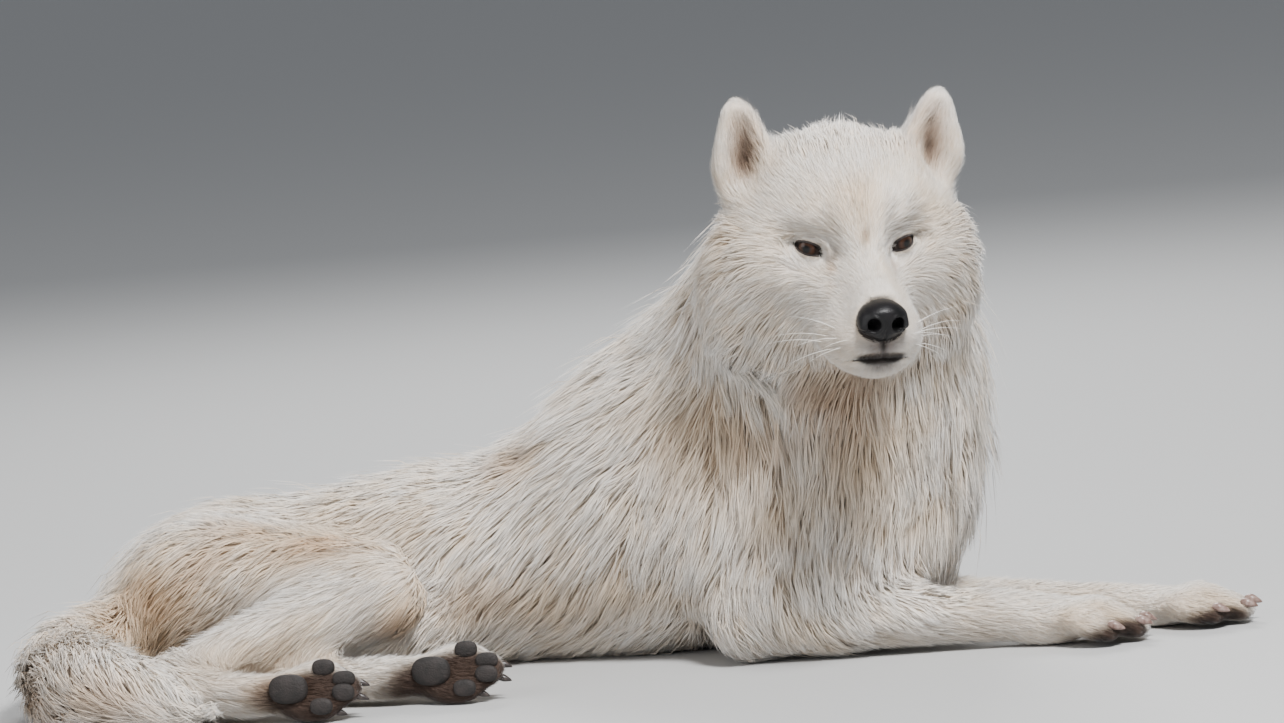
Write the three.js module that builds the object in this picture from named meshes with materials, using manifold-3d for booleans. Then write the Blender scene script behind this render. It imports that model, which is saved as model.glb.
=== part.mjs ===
// Arctic wolf at rest: forequarters upright on the forearms, hips rolled to the left so that both hind
// paws lie on the right side with their soles outwards, tail round the right side, head turned right.
//
// Frame, in millimetres: +X forward along the trunk, +Y to the wolf's left, +Z up, floor at Z = 0.
// The origin is on the floor, in the flat under the brisket. The surface is the outline of the coat.
// Each form is a smooth blend of balls and bones (a distance field), skinned by rays cast round a spine.

import * as THREE from "three";
import { mergeVertices } from "three/addons/utils/BufferGeometryUtils.js";
import Module from "manifold-3d";

const wasm = await Module();
wasm.setup();

// ---- driving dimensions -------------------------------------------------------------------------
const GAP = 0.35; // clearance between touching nodes
const FLOOR_DEPTH = 400; // how far the floor block reaches down
const CHEST_HALF_WIDTH = 142;
const WITHERS_HEIGHT = 278; // over the floor, coat included
const LOIN_HEIGHT = 186;
const RUMP_X = -664; // rearmost point of the trunk
const BREAST_X = 186; // foremost point of the chest ruff

const HEAD_ORIGIN = [121, -236, 377]; // midpoint between the eyes
const HEAD_YAW = -68.6; // degrees, turned to the right
const HEAD_PITCH = 15.6; // nose down
const HEAD_ROLL = -2.4; // left side a little low
const MUZZLE_LENGTH = 114; // eyes to the tip of the nose
const NOSE_HALF_WIDTH = 21;
const EYE_RADIUS = 11.5;
const EYE_SPREAD = 39; // centre of an eye from the midline
const EAR_HEIGHT = 96;

const FORE_TOE_RADIUS = 13.5;
const HIND_TOE_RADIUS = 12;
const CLAW_LENGTH = 21;
const CLAW_RADIUS = 4.2;

// ---- colours ------------------------------------------------------------------------------------
const finish = (color, roughness) => new THREE.MeshStandardMaterial({ color, roughness, metalness: 0 });
const COAT = finish(0xe9e3d8, 0.9);
const FACE_COAT = finish(0xeeeae2, 0.85);
const EAR_COAT = finish(0xd9ccb9, 0.9);
const EYE = finish(0x2a1509, 0.12);
const NOSE_LEATHER = finish(0x121214, 0.35);
const CLAW_HORN = finish(0x6b564b, 0.4);
const PAD_LEATHER = finish(0x352a26, 0.75);

// ---- distance fields ----------------------------------------------------------------------------
const vec = (p) => (p.isVector3 ? p : new THREE.Vector3(...p));
const mix = THREE.MathUtils.lerp;
const clamp01 = (x) => Math.min(1, Math.max(0, x));

// An ellipsoid, its radii along the axes of the frame it is used in.
function ball(centre, radii) {
  const c = vec(centre);
  const r = vec(radii);
  return (p) => {
    const x = (p.x - c.x) / r.x;
    const y = (p.y - c.y) / r.y;
    const z = (p.z - c.z) / r.z;
    const near = Math.hypot(x, y, z);
    const slope = Math.hypot(x / r.x, y / r.y, z / r.z);
    return slope < 1e-9 ? -Math.min(r.x, r.y, r.z) : (near * (near - 1)) / slope;
  };
}

// A rod from a to b whose radius runs evenly from ra to rb.
function bone(a, b, ra, rb = ra) {
  const from = vec(a);
  const along = vec(b).clone().sub(from);
  const length2 = along.lengthSq();
  const rel = new THREE.Vector3();
  return (p) => {
    rel.copy(p).sub(from);
    const h = clamp01(rel.dot(along) / length2);
    return rel.addScaledVector(along, -h).length() - mix(ra, rb, h);
  };
}

// Fields joined with a fillet of about k.
function blend(k, ...fields) {
  return (p) => {
    let d = fields[0](p);
    for (let i = 1; i < fields.length; i++) {
      const e = fields[i](p);
      const h = clamp01(0.5 + (0.5 * (e - d)) / k);
      d = mix(e, d, h) - k * h * (1 - h);
    }
    return d;
  };
}

const hollow = (k, field, cutter) => {
  const joined = blend(k, (p) => -field(p), cutter);
  return (p) => -joined(p);
};
const grow = (field, by) => (p) => field(p) - by;
const bothSides = (make) => [make(-1), make(1)];

// A field modelled in a turned frame, read in the world's.
function placed(field, matrix) {
  const inverse = matrix.clone().invert();
  const local = new THREE.Vector3();
  return (p) => field(local.copy(p).applyMatrix4(inverse));
}

// ---- skinning -----------------------------------------------------------------------------------
// Distance from an inside point along a ray to the field's surface.
function reach(field, from, ray) {
  const p = new THREE.Vector3();
  let along = 0;
  for (let i = 0; i < 90; i++) {
    const d = field(p.copy(from).addScaledVector(ray, along));
    if (d > -0.02) break;
    along += Math.max(0.02, -d * 0.85);
  }
  return Math.max(along, 0.6);
}

// A closed skin: rings of rays square to the spine, and fanned rings and a pole at each end.
function skin(field, spinePoints, { sides = 16, rings = 10, fan = 2, up = [0, 0, 1] } = {}) {
  const points = spinePoints.map(vec);
  const spine = points.length === 2 ? new THREE.LineCurve3(...points) : new THREE.CatmullRomCurve3(points);
  const upward = vec(up);
  const shots = [];
  const ring = (t, tilt) => {
    const tangent = spine.getTangentAt(t);
    const side = new THREE.Vector3().crossVectors(upward, tangent).normalize();
    const top = new THREE.Vector3().crossVectors(tangent, side);
    shots.push({ from: spine.getPointAt(t), tangent, side, top, tilt });
  };
  for (let i = 1; i <= fan; i++) ring(0, (Math.PI / 2) * (i / (fan + 1) - 1));
  for (let i = 0; i < rings; i++) ring(i / (rings - 1), 0);
  for (let i = fan; i >= 1; i--) ring(1, (Math.PI / 2) * (1 - i / (fan + 1)));

  const position = [];
  const shoot = (from, ray) => {
    const tip = ray.clone().normalize();
    const p = from.clone().addScaledVector(tip, reach(field, from, tip));
    position.push(p.x, p.y, p.z);
  };
  for (const s of shots)
    for (let k = 0; k < sides; k++) {
      const a = (2 * Math.PI * k) / sides;
      const ray = s.side.clone().multiplyScalar(Math.cos(a)).addScaledVector(s.top, Math.sin(a));
      shoot(s.from, ray.multiplyScalar(Math.cos(s.tilt)).addScaledVector(s.tangent, Math.sin(s.tilt)));
    }
  shoot(shots[0].from, shots[0].tangent.clone().negate());
  shoot(shots.at(-1).from, shots.at(-1).tangent.clone());

  const index = [];
  const first = shots.length * sides;
  for (let k = 0; k < sides; k++) {
    const next = (k + 1) % sides;
    index.push(first, next, k);
    for (let j = 0; j + 1 < shots.length; j++) {
      const [a, b] = [j * sides + k, j * sides + next];
      index.push(a, b, a + sides, b, b + sides, a + sides);
    }
    const last = (shots.length - 1) * sides;
    index.push(last + k, last + next, first + 1);
  }
  return new THREE.BufferGeometry()
    .setAttribute("position", new THREE.Float32BufferAttribute(position, 3))
    .setIndex(index);
}

// ---- solids -------------------------------------------------------------------------------------
function solidOf(geometry) {
  const bare = geometry.clone();
  bare.deleteAttribute("normal");
  bare.deleteAttribute("uv");
  const merged = mergeVertices(bare, 1e-3);
  return new wasm.Manifold(
    new wasm.Mesh({
      numProp: 3,
      vertProperties: new Float32Array(merged.attributes.position.array),
      triVerts: new Uint32Array(merged.index.array),
    }),
  );
}

const largest = (solid) => solid.decompose().sort((a, b) => b.volume() - a.volume())[0];

function geometryOf(solid) {
  const { vertProperties, triVerts, numProp } = solid.getMesh();
  const position = new Float32Array((vertProperties.length / numProp) * 3);
  for (let i = 0; i * 3 < position.length; i++)
    position.set(vertProperties.subarray(i * numProp, i * numProp + 3), i * 3);
  return new THREE.BufferGeometry()
    .setAttribute("position", new THREE.BufferAttribute(position, 3))
    .setIndex(new THREE.BufferAttribute(triVerts, 1));
}

const floorBlock = solidOf(
  new THREE.BoxGeometry(3000, 3000, FLOOR_DEPTH).translate(0, 0, -FLOOR_DEPTH / 2),
);

// A form keeps its snug solid and one grown by GAP, which cuts its neighbours.
function form(...skins) {
  const build = (by) =>
    skins
      .map(([field, spine, detail]) => solidOf(skin(grow(field, by), spine, detail)))
      .reduce((whole, more) => whole.add(more));
  const solid = build(0);
  return { solid, cutter: build(GAP).add(solid) };
}
const cutBy = (solid, ...forms) => forms.reduce((left, f) => left.subtract(f.cutter), solid);
const onFloor = (solid) => largest(solid.subtract(floorBlock));

// ---- head ---------------------------------------------------------------------------------------
const headMatrix = new THREE.Matrix4()
  .makeRotationFromEuler(
    new THREE.Euler(
      THREE.MathUtils.degToRad(HEAD_ROLL),
      THREE.MathUtils.degToRad(HEAD_PITCH),
      THREE.MathUtils.degToRad(HEAD_YAW),
      "ZYX",
    ),
  )
  .setPosition(...HEAD_ORIGIN);
const atHead = (p) => vec(p).clone().applyMatrix4(headMatrix);
const headUp = new THREE.Vector3(0, 0, 1).transformDirection(headMatrix);

const NOSE_X = MUZZLE_LENGTH - 13;
const cranium = ball([-62, 0, 16], [84, 86, 72]);
const throat = ball([-42, 0, -88], [50, 84, 42]);
const brow = blend(
  16,
  ball([-16, 0, 14], [36, 44, 24]),
  ...bothSides((s) => ball([-14, s * 36, 14], [24, 22, 13])),
);
const cheeks = bothSides((s) => ball([-50, s * 66, -28], [60, 58, 58]));
const jowls = bothSides((s) => ball([-60, s * 74, -76], [54, 54, 62]));
const muzzle = blend(
  16,
  bone([0, 0, -44], [NOSE_X - 23, 0, -45], 46, 28),
  bone([20, 0, -16], [NOSE_X - 8, 0, -24], 17, 15),
  ...bothSides((s) => ball([44, s * 24, -60], [42, 25, 27])),
);
const lowerJaw = blend(
  14,
  bone([-20, 0, -76], [NOSE_X - 30, 0, -70], 36, 19),
  ball([NOSE_X - 28, 0, -74], [20, 24, 15]),
);
const sockets = bothSides((s) => ball([12, s * (EYE_SPREAD + 2), -1], [15, 19, 12]));
const headField = sockets.reduce(
  (field, socket) => hollow(12, field, socket),
  blend(24, blend(26, cranium, brow, ...cheeks, ...jowls, throat), muzzle, lowerJaw),
);
const headSpine = [[-120, 0, -14], [-60, 0, -24], [0, 0, -42], [NOSE_X - 16, 0, -46]].map(atHead);
const head = form([
  placed(headField, headMatrix),
  headSpine,
  { sides: 24, rings: 16, fan: 3, up: headUp },
]);

const noseField = blend(
  6,
  ball([NOSE_X - 2, 0, -23], [14, NOSE_HALF_WIDTH, 13]),
  ball([NOSE_X - 3, 0, -35], [13, NOSE_HALF_WIDTH - 5, 12]),
);
const nose = form([
  placed(noseField, headMatrix),
  [[NOSE_X - 8, 0, -28], [NOSE_X + 2, 0, -28]].map(atHead),
  { sides: 10, rings: 2, fan: 1, up: headUp },
]);

const eyes = bothSides((s) => {
  const centre = [-10, s * EYE_SPREAD, -1];
  return form([
    placed(ball(centre, [EYE_RADIUS, EYE_RADIUS, EYE_RADIUS]), headMatrix),
    [[centre[0] - 3, centre[1], centre[2]], [centre[0] + 3, centre[1], centre[2]]].map(atHead),
    { sides: 10, rings: 2, fan: 1, up: headUp },
  ]);
});

// An ear is a tall leaf, thin from front to back, whose front is scooped out.
const EAR_X = -72;
const EAR_TIP = [EAR_X - 9, 88, EAR_HEIGHT];
const ears = bothSides((s) => {
  const mirror = ([x, y, z]) => [x, s * y, z];
  const shell = blend(
    16,
    ball(mirror([EAR_X - 2, 78, 40]), [21, 36, 44]),
    bone(mirror([EAR_X - 4, 82, 64]), mirror(EAR_TIP), 27, 16),
  );
  const bowl = blend(
    10,
    ball(mirror([EAR_X + 22, 77, 46]), [21, 22, 36]),
    bone(mirror([EAR_X + 22, 80, 66]), mirror([EAR_X + 13, 86, 96]), 17, 10),
  );
  return form([
    placed(hollow(6, shell, bowl), headMatrix),
    [mirror([EAR_X - 9, 76, 16]), mirror([EAR_X - 11, 79, 56]), mirror([EAR_X - 12, 87, 96])].map(atHead),
    { sides: 11, rings: 5, fan: 1, up: new THREE.Vector3(1, 0, 0).transformDirection(headMatrix) },
  ]);
});

// ---- neck and trunk -----------------------------------------------------------------------------
const neckField = blend(
  50,
  bone([-40, -10, 208], [62, -84, 352], 112, 104),
  ball([80, -58, 268], [128, 118, 112]),
  ball([68, -36, 170], [BREAST_X - 56, 118, 126]),
);
const trunkField = blend(
  40,
  ball([-6, 0, 128], [150, CHEST_HALF_WIDTH, 134]),
  ball([-100, 0, 150], [134, CHEST_HALF_WIDTH - 8, WITHERS_HEIGHT - 150]),
  bone([-84, 4, 214], [-150, 4, 174], 94, 94),
  bone([-150, 0, 100], [-330, 4, LOIN_HEIGHT - 96], 102, 90),
  bone([-330, 4, LOIN_HEIGHT - 96], [-520, 0, 82], 90, 84),
  ball([RUMP_X + 104, -4, 68], [104, 126, 82]),
);
const bodyField = blend(60, trunkField, neckField);

// Neck and trunk are one form, parted by a plane that slopes from the withers to the breast.
const PARTING = { at: [0, 0, 186], normal: [0.62, -0.1, 0.78] };
function behindParting(towards, lift) {
  const normal = vec(PARTING.normal).clone().normalize().multiplyScalar(towards);
  const turn = new THREE.Quaternion().setFromUnitVectors(new THREE.Vector3(0, 0, 1), normal);
  const size = 2000;
  const block = new THREE.BoxGeometry(size, size, size).translate(0, 0, size / 2 + lift);
  return solidOf(block.applyQuaternion(turn).translate(...PARTING.at));
}
const neckWhole = form([
  bodyField,
  [[20, -6, 60], [30, -18, 180], [54, -58, 300], [66, -92, 366]],
  { sides: 20, rings: 8, fan: 2, up: [0, 1, 0] },
]);
const trunkWhole = form([
  bodyField,
  [[70, 0, 84], [-60, 0, 90], [-200, 0, 88], [-360, 2, 84], [-500, -4, 76], [-580, -12, 62]],
  { sides: 20, rings: 14, fan: 2 },
]);
const neckPart = (solid, lift) => largest(solid.subtract(behindParting(-1, lift)));
const neck = neckPart(neckWhole.solid, -GAP / 2);
const neckForm = { cutter: neckPart(neckWhole.cutter, 0) };
const trunk = largest(trunkWhole.solid.subtract(behindParting(1, -GAP / 2)));

// ---- tail ---------------------------------------------------------------------------------------
// Middle line from root to tip, each point with the radius of the brush there.
const TAIL = [
  { at: [-604, -50, 48], radius: 44 },
  { at: [-636, -120, 46], radius: 46 },
  { at: [-634, -196, 44], radius: 47 },
  { at: [-604, -268, 42], radius: 47 },
  { at: [-546, -320, 38], radius: 42 },
  { at: [-460, -346, 26], radius: 18 },
];
const tailLengths = TAIL.slice(1).map((end, i) => bone(TAIL[i].at, end.at, TAIL[i].radius, end.radius));
const tail = form([blend(30, ...tailLengths), TAIL.map((p) => p.at), { sides: 10, rings: 9, fan: 1 }]);

// ---- paws ---------------------------------------------------------------------------------------
// A pad is a rounded cushion, under facing out of the sole.
function padOf(centre, [forward, across, under], radii) {
  const frame = new THREE.Matrix4().makeBasis(forward, across, under).setPosition(centre);
  const along = (x) => new THREE.Vector3(x, 0, 0).applyMatrix4(frame);
  const spine = [along(-radii[0] * 0.3), along(radii[0] * 0.3)];
  return form([placed(ball([0, 0, 0], radii), frame), spine, { sides: 7, rings: 2, fan: 1, up: under }]);
}

// Four toes with a claw each and, where the sole shows, pads. forward runs to the toe tips, sole faces
// out of the underside, and the tips lie drop below the knuckles.
const TOES = [
  { across: -1.5, reach: 0.8 },
  { across: -0.5, reach: 1 },
  { across: 0.5, reach: 1 },
  { across: 1.5, reach: 0.8 },
];
function paw({ heel, forward, sole, length, toeRadius, spread, drop, showsSole = false }) {
  const f = vec(forward).clone().normalize();
  const d = vec(sole).clone().addScaledVector(f, -vec(sole).dot(f)).normalize();
  const s = new THREE.Vector3().crossVectors(f, d);
  const axes = [f, s, d];
  const at = (...along) => axes.reduce((p, axis, i) => p.addScaledVector(axis, along[i]), vec(heel).clone());
  const made = { toes: [], claws: [], pads: [] };
  for (const toe of TOES) {
    const across = toe.across * spread;
    const end = toe.reach * length;
    const root = at(length * 0.25, across * 0.6, 0);
    const knuckle = at(end - length * 0.36, across, -3);
    const tip = at(end - toeRadius, across * 1.06, drop);
    const toeField = blend(
      8,
      bone(root, knuckle, toeRadius * 0.95, toeRadius * 1.12),
      bone(knuckle, tip, toeRadius * 1.12, toeRadius * 0.86),
    );
    made.toes.push([toeField, [root, knuckle, tip], { sides: 7, rings: 3, fan: 1, up: s }]);

    const quick = at(end - toeRadius * 0.8, across * 1.08, drop - toeRadius * 0.75);
    const bend = at(end + CLAW_LENGTH * 0.1, across * 1.1, drop - toeRadius * 0.7);
    const point = at(end + CLAW_LENGTH * 0.5, across * 1.12, drop);
    const claw = blend(
      3,
      bone(quick, bend, CLAW_RADIUS, CLAW_RADIUS * 0.8),
      bone(bend, point, CLAW_RADIUS * 0.8, CLAW_RADIUS * 0.33),
    );
    made.claws.push(form([claw, [quick, bend, point], { sides: 5, rings: 3, fan: 0, up: s }]));

    const under = at(end - toeRadius * 1.5, across * 1.04, toeRadius * 0.62);
    if (showsSole) made.pads.push(padOf(under, axes, [12, 8.6, 8]));
  }
  if (showsSole) made.pads.push(padOf(at(length * 0.3, 0, toeRadius * 0.78), axes, [17, 17, 9]));
  return made;
}

// ---- legs ---------------------------------------------------------------------------------------
const shifted = (p, by) => vec(p).clone().add(vec(by));
function limb(a, b, ra, rb, detail) {
  return [bone(a, b, ra, rb), [a, b], { sides: 9, rings: 3, fan: 1, ...detail }];
}

function foreLeg({ shoulder, elbow, carpus, heel, forward, drop, thick }) {
  const foot = paw({
    heel, forward, drop, sole: [0, 0, -1], length: 110, toeRadius: FORE_TOE_RADIUS, spread: 19,
  });
  const palm = blend(
    12,
    bone(carpus, heel, thick.carpus, thick.carpus),
    ball(shifted(heel, [26, 0, -3]), [36, 31, thick.carpus - 3]),
  );
  const whole = form(
    limb(shoulder, elbow, thick.shoulder, thick.elbow, { sides: 10, fan: 2, up: [1, 0, 0] }),
    limb(elbow, carpus, thick.elbow - 4, thick.carpus, { sides: 10, rings: 4 }),
    [palm, [carpus, vec(heel).clone().addScaledVector(vec(forward), 34)], { sides: 10, rings: 3, fan: 1 }],
    ...foot.toes,
  );
  return { whole, ...foot };
}

function hindLeg({ hip, knee, hock, heel, forward, thick }) {
  const foot = paw({
    heel, forward, drop: 4, sole: HIND_SOLE, length: 98, toeRadius: HIND_TOE_RADIUS, spread: 11.5,
    showsSole: true,
  });
  const sole = ball(shifted(heel, [30, 4, 0]), [40, 19, 24]);
  const whole = form(
    limb(hip, knee, thick.hip, thick.knee, { sides: 12, rings: 4, fan: 3 }),
    limb(knee, hock, thick.knee - 6, thick.hock),
    limb(hock, heel, thick.hock, thick.heel),
    [sole, [shifted(heel, [4, 2, 0]), shifted(heel, [52, 3, 0])], { sides: 10, rings: 3, fan: 1 }],
    ...foot.toes,
  );
  return { whole, ...foot };
}

const HIND_SOLE = [0.05, -0.85, 0.5]; // the hind soles face out to the right and a little up
const legs = {
  foreleg_right: foreLeg({
    shoulder: [36, -84, 150], elbow: [-30, -106, 44], carpus: [206, -84, 29], heel: [222, -84, 24],
    forward: [1, -0.06, 0], drop: 12, thick: { shoulder: 66, elbow: 42, carpus: 25 },
  }),
  foreleg_left: foreLeg({
    shoulder: [40, 78, 150], elbow: [28, 52, 31], carpus: [292, -14, 21], heel: [310, -16, 20],
    forward: [1, -0.1, 0], drop: 8, thick: { shoulder: 66, elbow: 34, carpus: 21 },
  }),
  hindleg_right: hindLeg({
    hip: [-540, -70, 84], knee: [-346, -158, 90], hock: [-548, -262, 30], heel: [-428, -282, 25],
    forward: [1, -0.03, 0.02], thick: { hip: 80, knee: 50, hock: 26, heel: 22 },
  }),
  hindleg_left: hindLeg({
    hip: [-500, -10, 62], knee: [-330, -70, 48], hock: [-446, -206, 24], heel: [-314, -226, 25],
    forward: [1, -0.02, 0.02], thick: { hip: 56, knee: 44, hock: 24, heel: 22 },
  }),
};

// ---- nodes --------------------------------------------------------------------------------------
const wolf = new THREE.Group();
function addNode(name, solid, material) {
  const mesh = new THREE.Mesh(geometryOf(solid), material);
  mesh.name = name;
  wolf.add(mesh);
}

const body = [head, neckForm, trunkWhole];
addNode("head", largest(cutBy(head.solid, nose, ...eyes)), FACE_COAT);
addNode("nose", nose.solid, NOSE_LEATHER);
["right", "left"].forEach((side, i) => {
  addNode(`eye_${side}`, eyes[i].solid, EYE);
  addNode(`ear_${side}`, largest(cutBy(ears[i].solid, head)), EAR_COAT);
});
addNode("neck", onFloor(cutBy(neck, head, ...ears)), COAT);
addNode("trunk", onFloor(trunk), COAT);

const placedLegs = []; // each leg is cut by those placed before it
for (const [name, leg] of Object.entries(legs)) {
  addNode(name, onFloor(cutBy(leg.whole.solid, ...body, ...placedLegs)), COAT);
  placedLegs.push(leg.whole);
  leg.claws.forEach((claw, i) => {
    addNode(`claw_${name}_${i + 1}`, onFloor(cutBy(claw.solid, leg.whole)), CLAW_HORN);
  });
  leg.pads.forEach((pad, i) => {
    const neighbours = [leg.whole, ...leg.claws, ...leg.pads.slice(0, i)];
    addNode(`pad_${name}_${i + 1}`, onFloor(cutBy(pad.solid, ...neighbours)), PAD_LEATHER);
  });
}
addNode("tail", onFloor(cutBy(tail.solid, ...body, ...placedLegs)), COAT);

export default wolf;
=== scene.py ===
"""Arctic wolf lying at rest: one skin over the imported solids, a coat of mesh tufts, eyes, nose, claws
and pads. Lengths in the tables are in millimetres in the row frame, or in the head's own frame."""
import math

import bmesh
import bpy
import numpy as np
from mathutils import Euler, Matrix, Vector, kdtree


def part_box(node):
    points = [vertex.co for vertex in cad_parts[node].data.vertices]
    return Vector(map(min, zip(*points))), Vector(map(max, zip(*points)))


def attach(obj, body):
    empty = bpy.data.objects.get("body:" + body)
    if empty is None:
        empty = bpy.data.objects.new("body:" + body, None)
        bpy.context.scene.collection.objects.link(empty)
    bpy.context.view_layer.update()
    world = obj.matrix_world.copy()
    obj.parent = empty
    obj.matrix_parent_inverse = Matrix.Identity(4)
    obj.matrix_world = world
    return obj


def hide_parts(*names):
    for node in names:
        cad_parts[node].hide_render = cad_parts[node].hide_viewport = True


MM = 0.001
SEED = 20

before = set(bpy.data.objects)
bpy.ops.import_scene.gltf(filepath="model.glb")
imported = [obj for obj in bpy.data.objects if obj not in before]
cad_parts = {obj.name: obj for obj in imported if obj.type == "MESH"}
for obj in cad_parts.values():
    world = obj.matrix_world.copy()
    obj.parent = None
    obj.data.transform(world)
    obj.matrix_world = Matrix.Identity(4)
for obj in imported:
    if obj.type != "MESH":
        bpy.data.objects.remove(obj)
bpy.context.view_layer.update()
bpy.ops.object.select_all(action="DESELECT")

# ---- the head's own frame: +X to the nose, +Y to the wolf's left, +Z up, origin between the eyes ----
HEAD_ORIGIN = Vector((121, -236, 377))
HEAD_TURN = Euler([math.radians(a) for a in (-2.4, 15.6, -68.6)], "XYZ").to_matrix()
HEAD_AXES = np.array(HEAD_TURN)


def from_head(points):
    """Head frame to row frame, in millimetres."""
    return np.atleast_2d(points) @ HEAD_AXES.T + np.array(HEAD_ORIGIN)


def to_head(points):
    return (np.atleast_2d(points) - np.array(HEAD_ORIGIN)) @ HEAD_AXES


# ---- places on the face, in the folded head frame ------------------------------------------------------
EYE_RADIUS = 12.3
EYE_CENTRE = np.array((-10.5, 38.5, -2.0))
EYE_AXIS = np.array((0.885, 0.445, 0.10))
EYE_AXIS /= np.linalg.norm(EYE_AXIS)
INNER_CORNER, OUTER_CORNER = np.array((3, 29.5, -6.5)), np.array((-8, 54, 2.5))
LID_ACROSS = OUTER_CORNER - INNER_CORNER
LID_ACROSS = LID_ACROSS - (LID_ACROSS @ EYE_AXIS) * EYE_AXIS
LID_ACROSS /= np.linalg.norm(LID_ACROSS)
LID_UP = np.cross(EYE_AXIS, LID_ACROSS)
LID_MIDDLE = (INNER_CORNER + OUTER_CORNER) / 2
LID_HALF_WIDTH = 13.4
UPPER_LID, LOWER_LID = 6.6, 3.0
LID_THICKNESS = 1.3

# the lips' line from the middle to the corner, in the folded head frame
MOUTH = [(102, 0, -66), (98, 10, -66.5), (91, 20, -68), (78, 31, -72), (62, 40, -76), (46, 45, -82)]
NOSE_CENTRE, NOSE_RADII = np.array((97.0, 0, -32.5)), np.array((15.5, 21.5, 18.0))
NOSE_SCALE = 18  # one radius of the nose, for gaps around it

# ---- camera ------------------------------------------------------------------------------------------
FRAME_SIZE = (1284, 723)
VIEW_AZIMUTH, VIEW_ELEVATION, VIEW_ROLL = (math.radians(a) for a in (12, 6, 5))
VIEW_DISTANCE = 4.5
PIXELS_PER_METRE = 1100  # at the row's origin
ORIGIN_PIXEL = (800, 641)
SENSOR_WIDTH = 36


def make_camera():
    """A long lens from the wolf's right, a little ahead and above, and rolled a little."""
    focal_pixels = VIEW_DISTANCE * PIXELS_PER_METRE
    data = bpy.data.cameras.new("camera")
    data.sensor_width = SENSOR_WIDTH
    data.lens = SENSOR_WIDTH * focal_pixels / FRAME_SIZE[0]
    data.clip_end = 60
    a, e, r = VIEW_AZIMUTH, VIEW_ELEVATION, VIEW_ROLL
    back = Vector((math.sin(a) * math.cos(e), -math.cos(a) * math.cos(e), math.sin(e)))
    level_right = Vector((math.cos(a), math.sin(a), 0))
    level_up = back.cross(level_right)
    right = level_right * math.cos(r) - level_up * math.sin(r)
    up = level_right * math.sin(r) + level_up * math.cos(r)
    across = -(ORIGIN_PIXEL[0] - FRAME_SIZE[0] / 2) / PIXELS_PER_METRE
    rise = -(FRAME_SIZE[1] / 2 - ORIGIN_PIXEL[1]) / PIXELS_PER_METRE
    camera = bpy.data.objects.new("camera", data)
    bpy.context.scene.collection.objects.link(camera)
    turn = Matrix((right, up, back)).transposed().to_4x4()
    camera.matrix_world = Matrix.Translation(back * VIEW_DISTANCE + right * across + up * rise) @ turn
    bpy.context.scene.camera = camera


make_camera()

# ---- modelling helpers -------------------------------------------------------------------------------


def pick(obj):
    """Makes obj the one selected and active object."""
    if bpy.context.object and bpy.context.object.mode != "OBJECT":
        bpy.ops.object.mode_set(mode="OBJECT")
    bpy.ops.object.select_all(action="DESELECT")
    obj.select_set(True)
    bpy.context.view_layer.objects.active = obj


def in_scene(name, data):
    obj = bpy.data.objects.new(name, data)
    bpy.context.scene.collection.objects.link(obj)
    return obj


def finish_with(obj, kind, **settings):
    """Adds a modifier and applies it."""
    pick(obj)
    modifier = obj.modifiers.new(kind.lower(), kind)
    for key, value in settings.items():
        setattr(modifier, key, value)
    bpy.ops.object.modifier_apply(modifier=modifier.name)


def joined(name, pieces):
    """The pieces made one object."""
    pick(pieces[0])
    for piece in pieces:
        piece.select_set(True)
    bpy.ops.object.join()
    whole = bpy.context.view_layer.objects.active
    whole.name = whole.data.name = name
    return whole


def copy_of(name, nodes):
    """One object with copies of these CAD nodes' meshes, merged."""
    pieces = [in_scene(name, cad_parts[node].data.copy()) for node in nodes]
    for piece in pieces:
        piece.data.materials.clear()
    whole = joined(name, pieces)
    bpy.ops.object.mode_set(mode="EDIT")
    bpy.ops.mesh.select_all(action="SELECT")
    bpy.ops.mesh.remove_doubles(threshold=1e-6)
    bpy.ops.object.mode_set(mode="OBJECT")
    return whole


def read(items, key, width, kind=np.float32):
    """A row of values from each item of a mesh."""
    flat = np.empty(len(items) * width, kind)
    items.foreach_get(key, flat)
    return flat.reshape(-1, width) if width > 1 else flat


def points_of(mesh):
    return read(mesh.vertices, "co", 3).astype(float) / MM


def set_points(mesh, points):
    mesh.vertices.foreach_set("co", (points * MM).astype(np.float32).ravel())
    mesh.update()


def shade_smooth(mesh):
    mesh.polygons.foreach_set("use_smooth", np.ones(len(mesh.polygons), bool))


def normals_of(mesh):
    return read(mesh.vertex_normals, "vector", 3).astype(float)


def edges_of(mesh):
    return read(mesh.edges, "vertices", 2, np.int32)


def corners_of(mesh):
    return read(mesh.loops, "vertex_index", 1, np.int32)


def smoothed(values, edges, rounds, share=0.5):
    """Moves each value towards the mean of its neighbours, by the same share or by a share of its own."""
    count = np.bincount(edges.ravel(), minlength=len(values)).astype(float)[:, None]
    v = values.reshape(len(values), -1).copy()
    share = np.reshape(share, (-1, 1))
    for _ in range(rounds):
        total = np.zeros_like(v)
        for k in range(v.shape[1]):
            total[:, k] = np.bincount(edges[:, 0], v[edges[:, 1], k], len(v))
            total[:, k] += np.bincount(edges[:, 1], v[edges[:, 0], k], len(v))
        v += share * (total / np.maximum(count, 1) - v)
    return v.reshape(values.shape)


def unit(v):
    return v / np.maximum(np.linalg.norm(v, axis=-1, keepdims=True), 1e-9)


def ramp(x, low, high):
    """0 below low, 1 above high, smooth between."""
    t = np.clip((x - low) / (high - low), 0, 1)
    return t * t * (3 - 2 * t)


def bump(points, centre, radii):
    """1 at the centre, falling smoothly to 0 at the rim of an ellipsoid."""
    d2 = (((points - np.array(centre)) / np.array(radii)) ** 2).sum(1)
    return np.clip(1 - d2, 0, 1) ** 2


def fold(local):
    """Head frame with both sides laid on the wolf's left."""
    return np.stack([local[:, 0], np.abs(local[:, 1]), local[:, 2]], 1)


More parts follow.
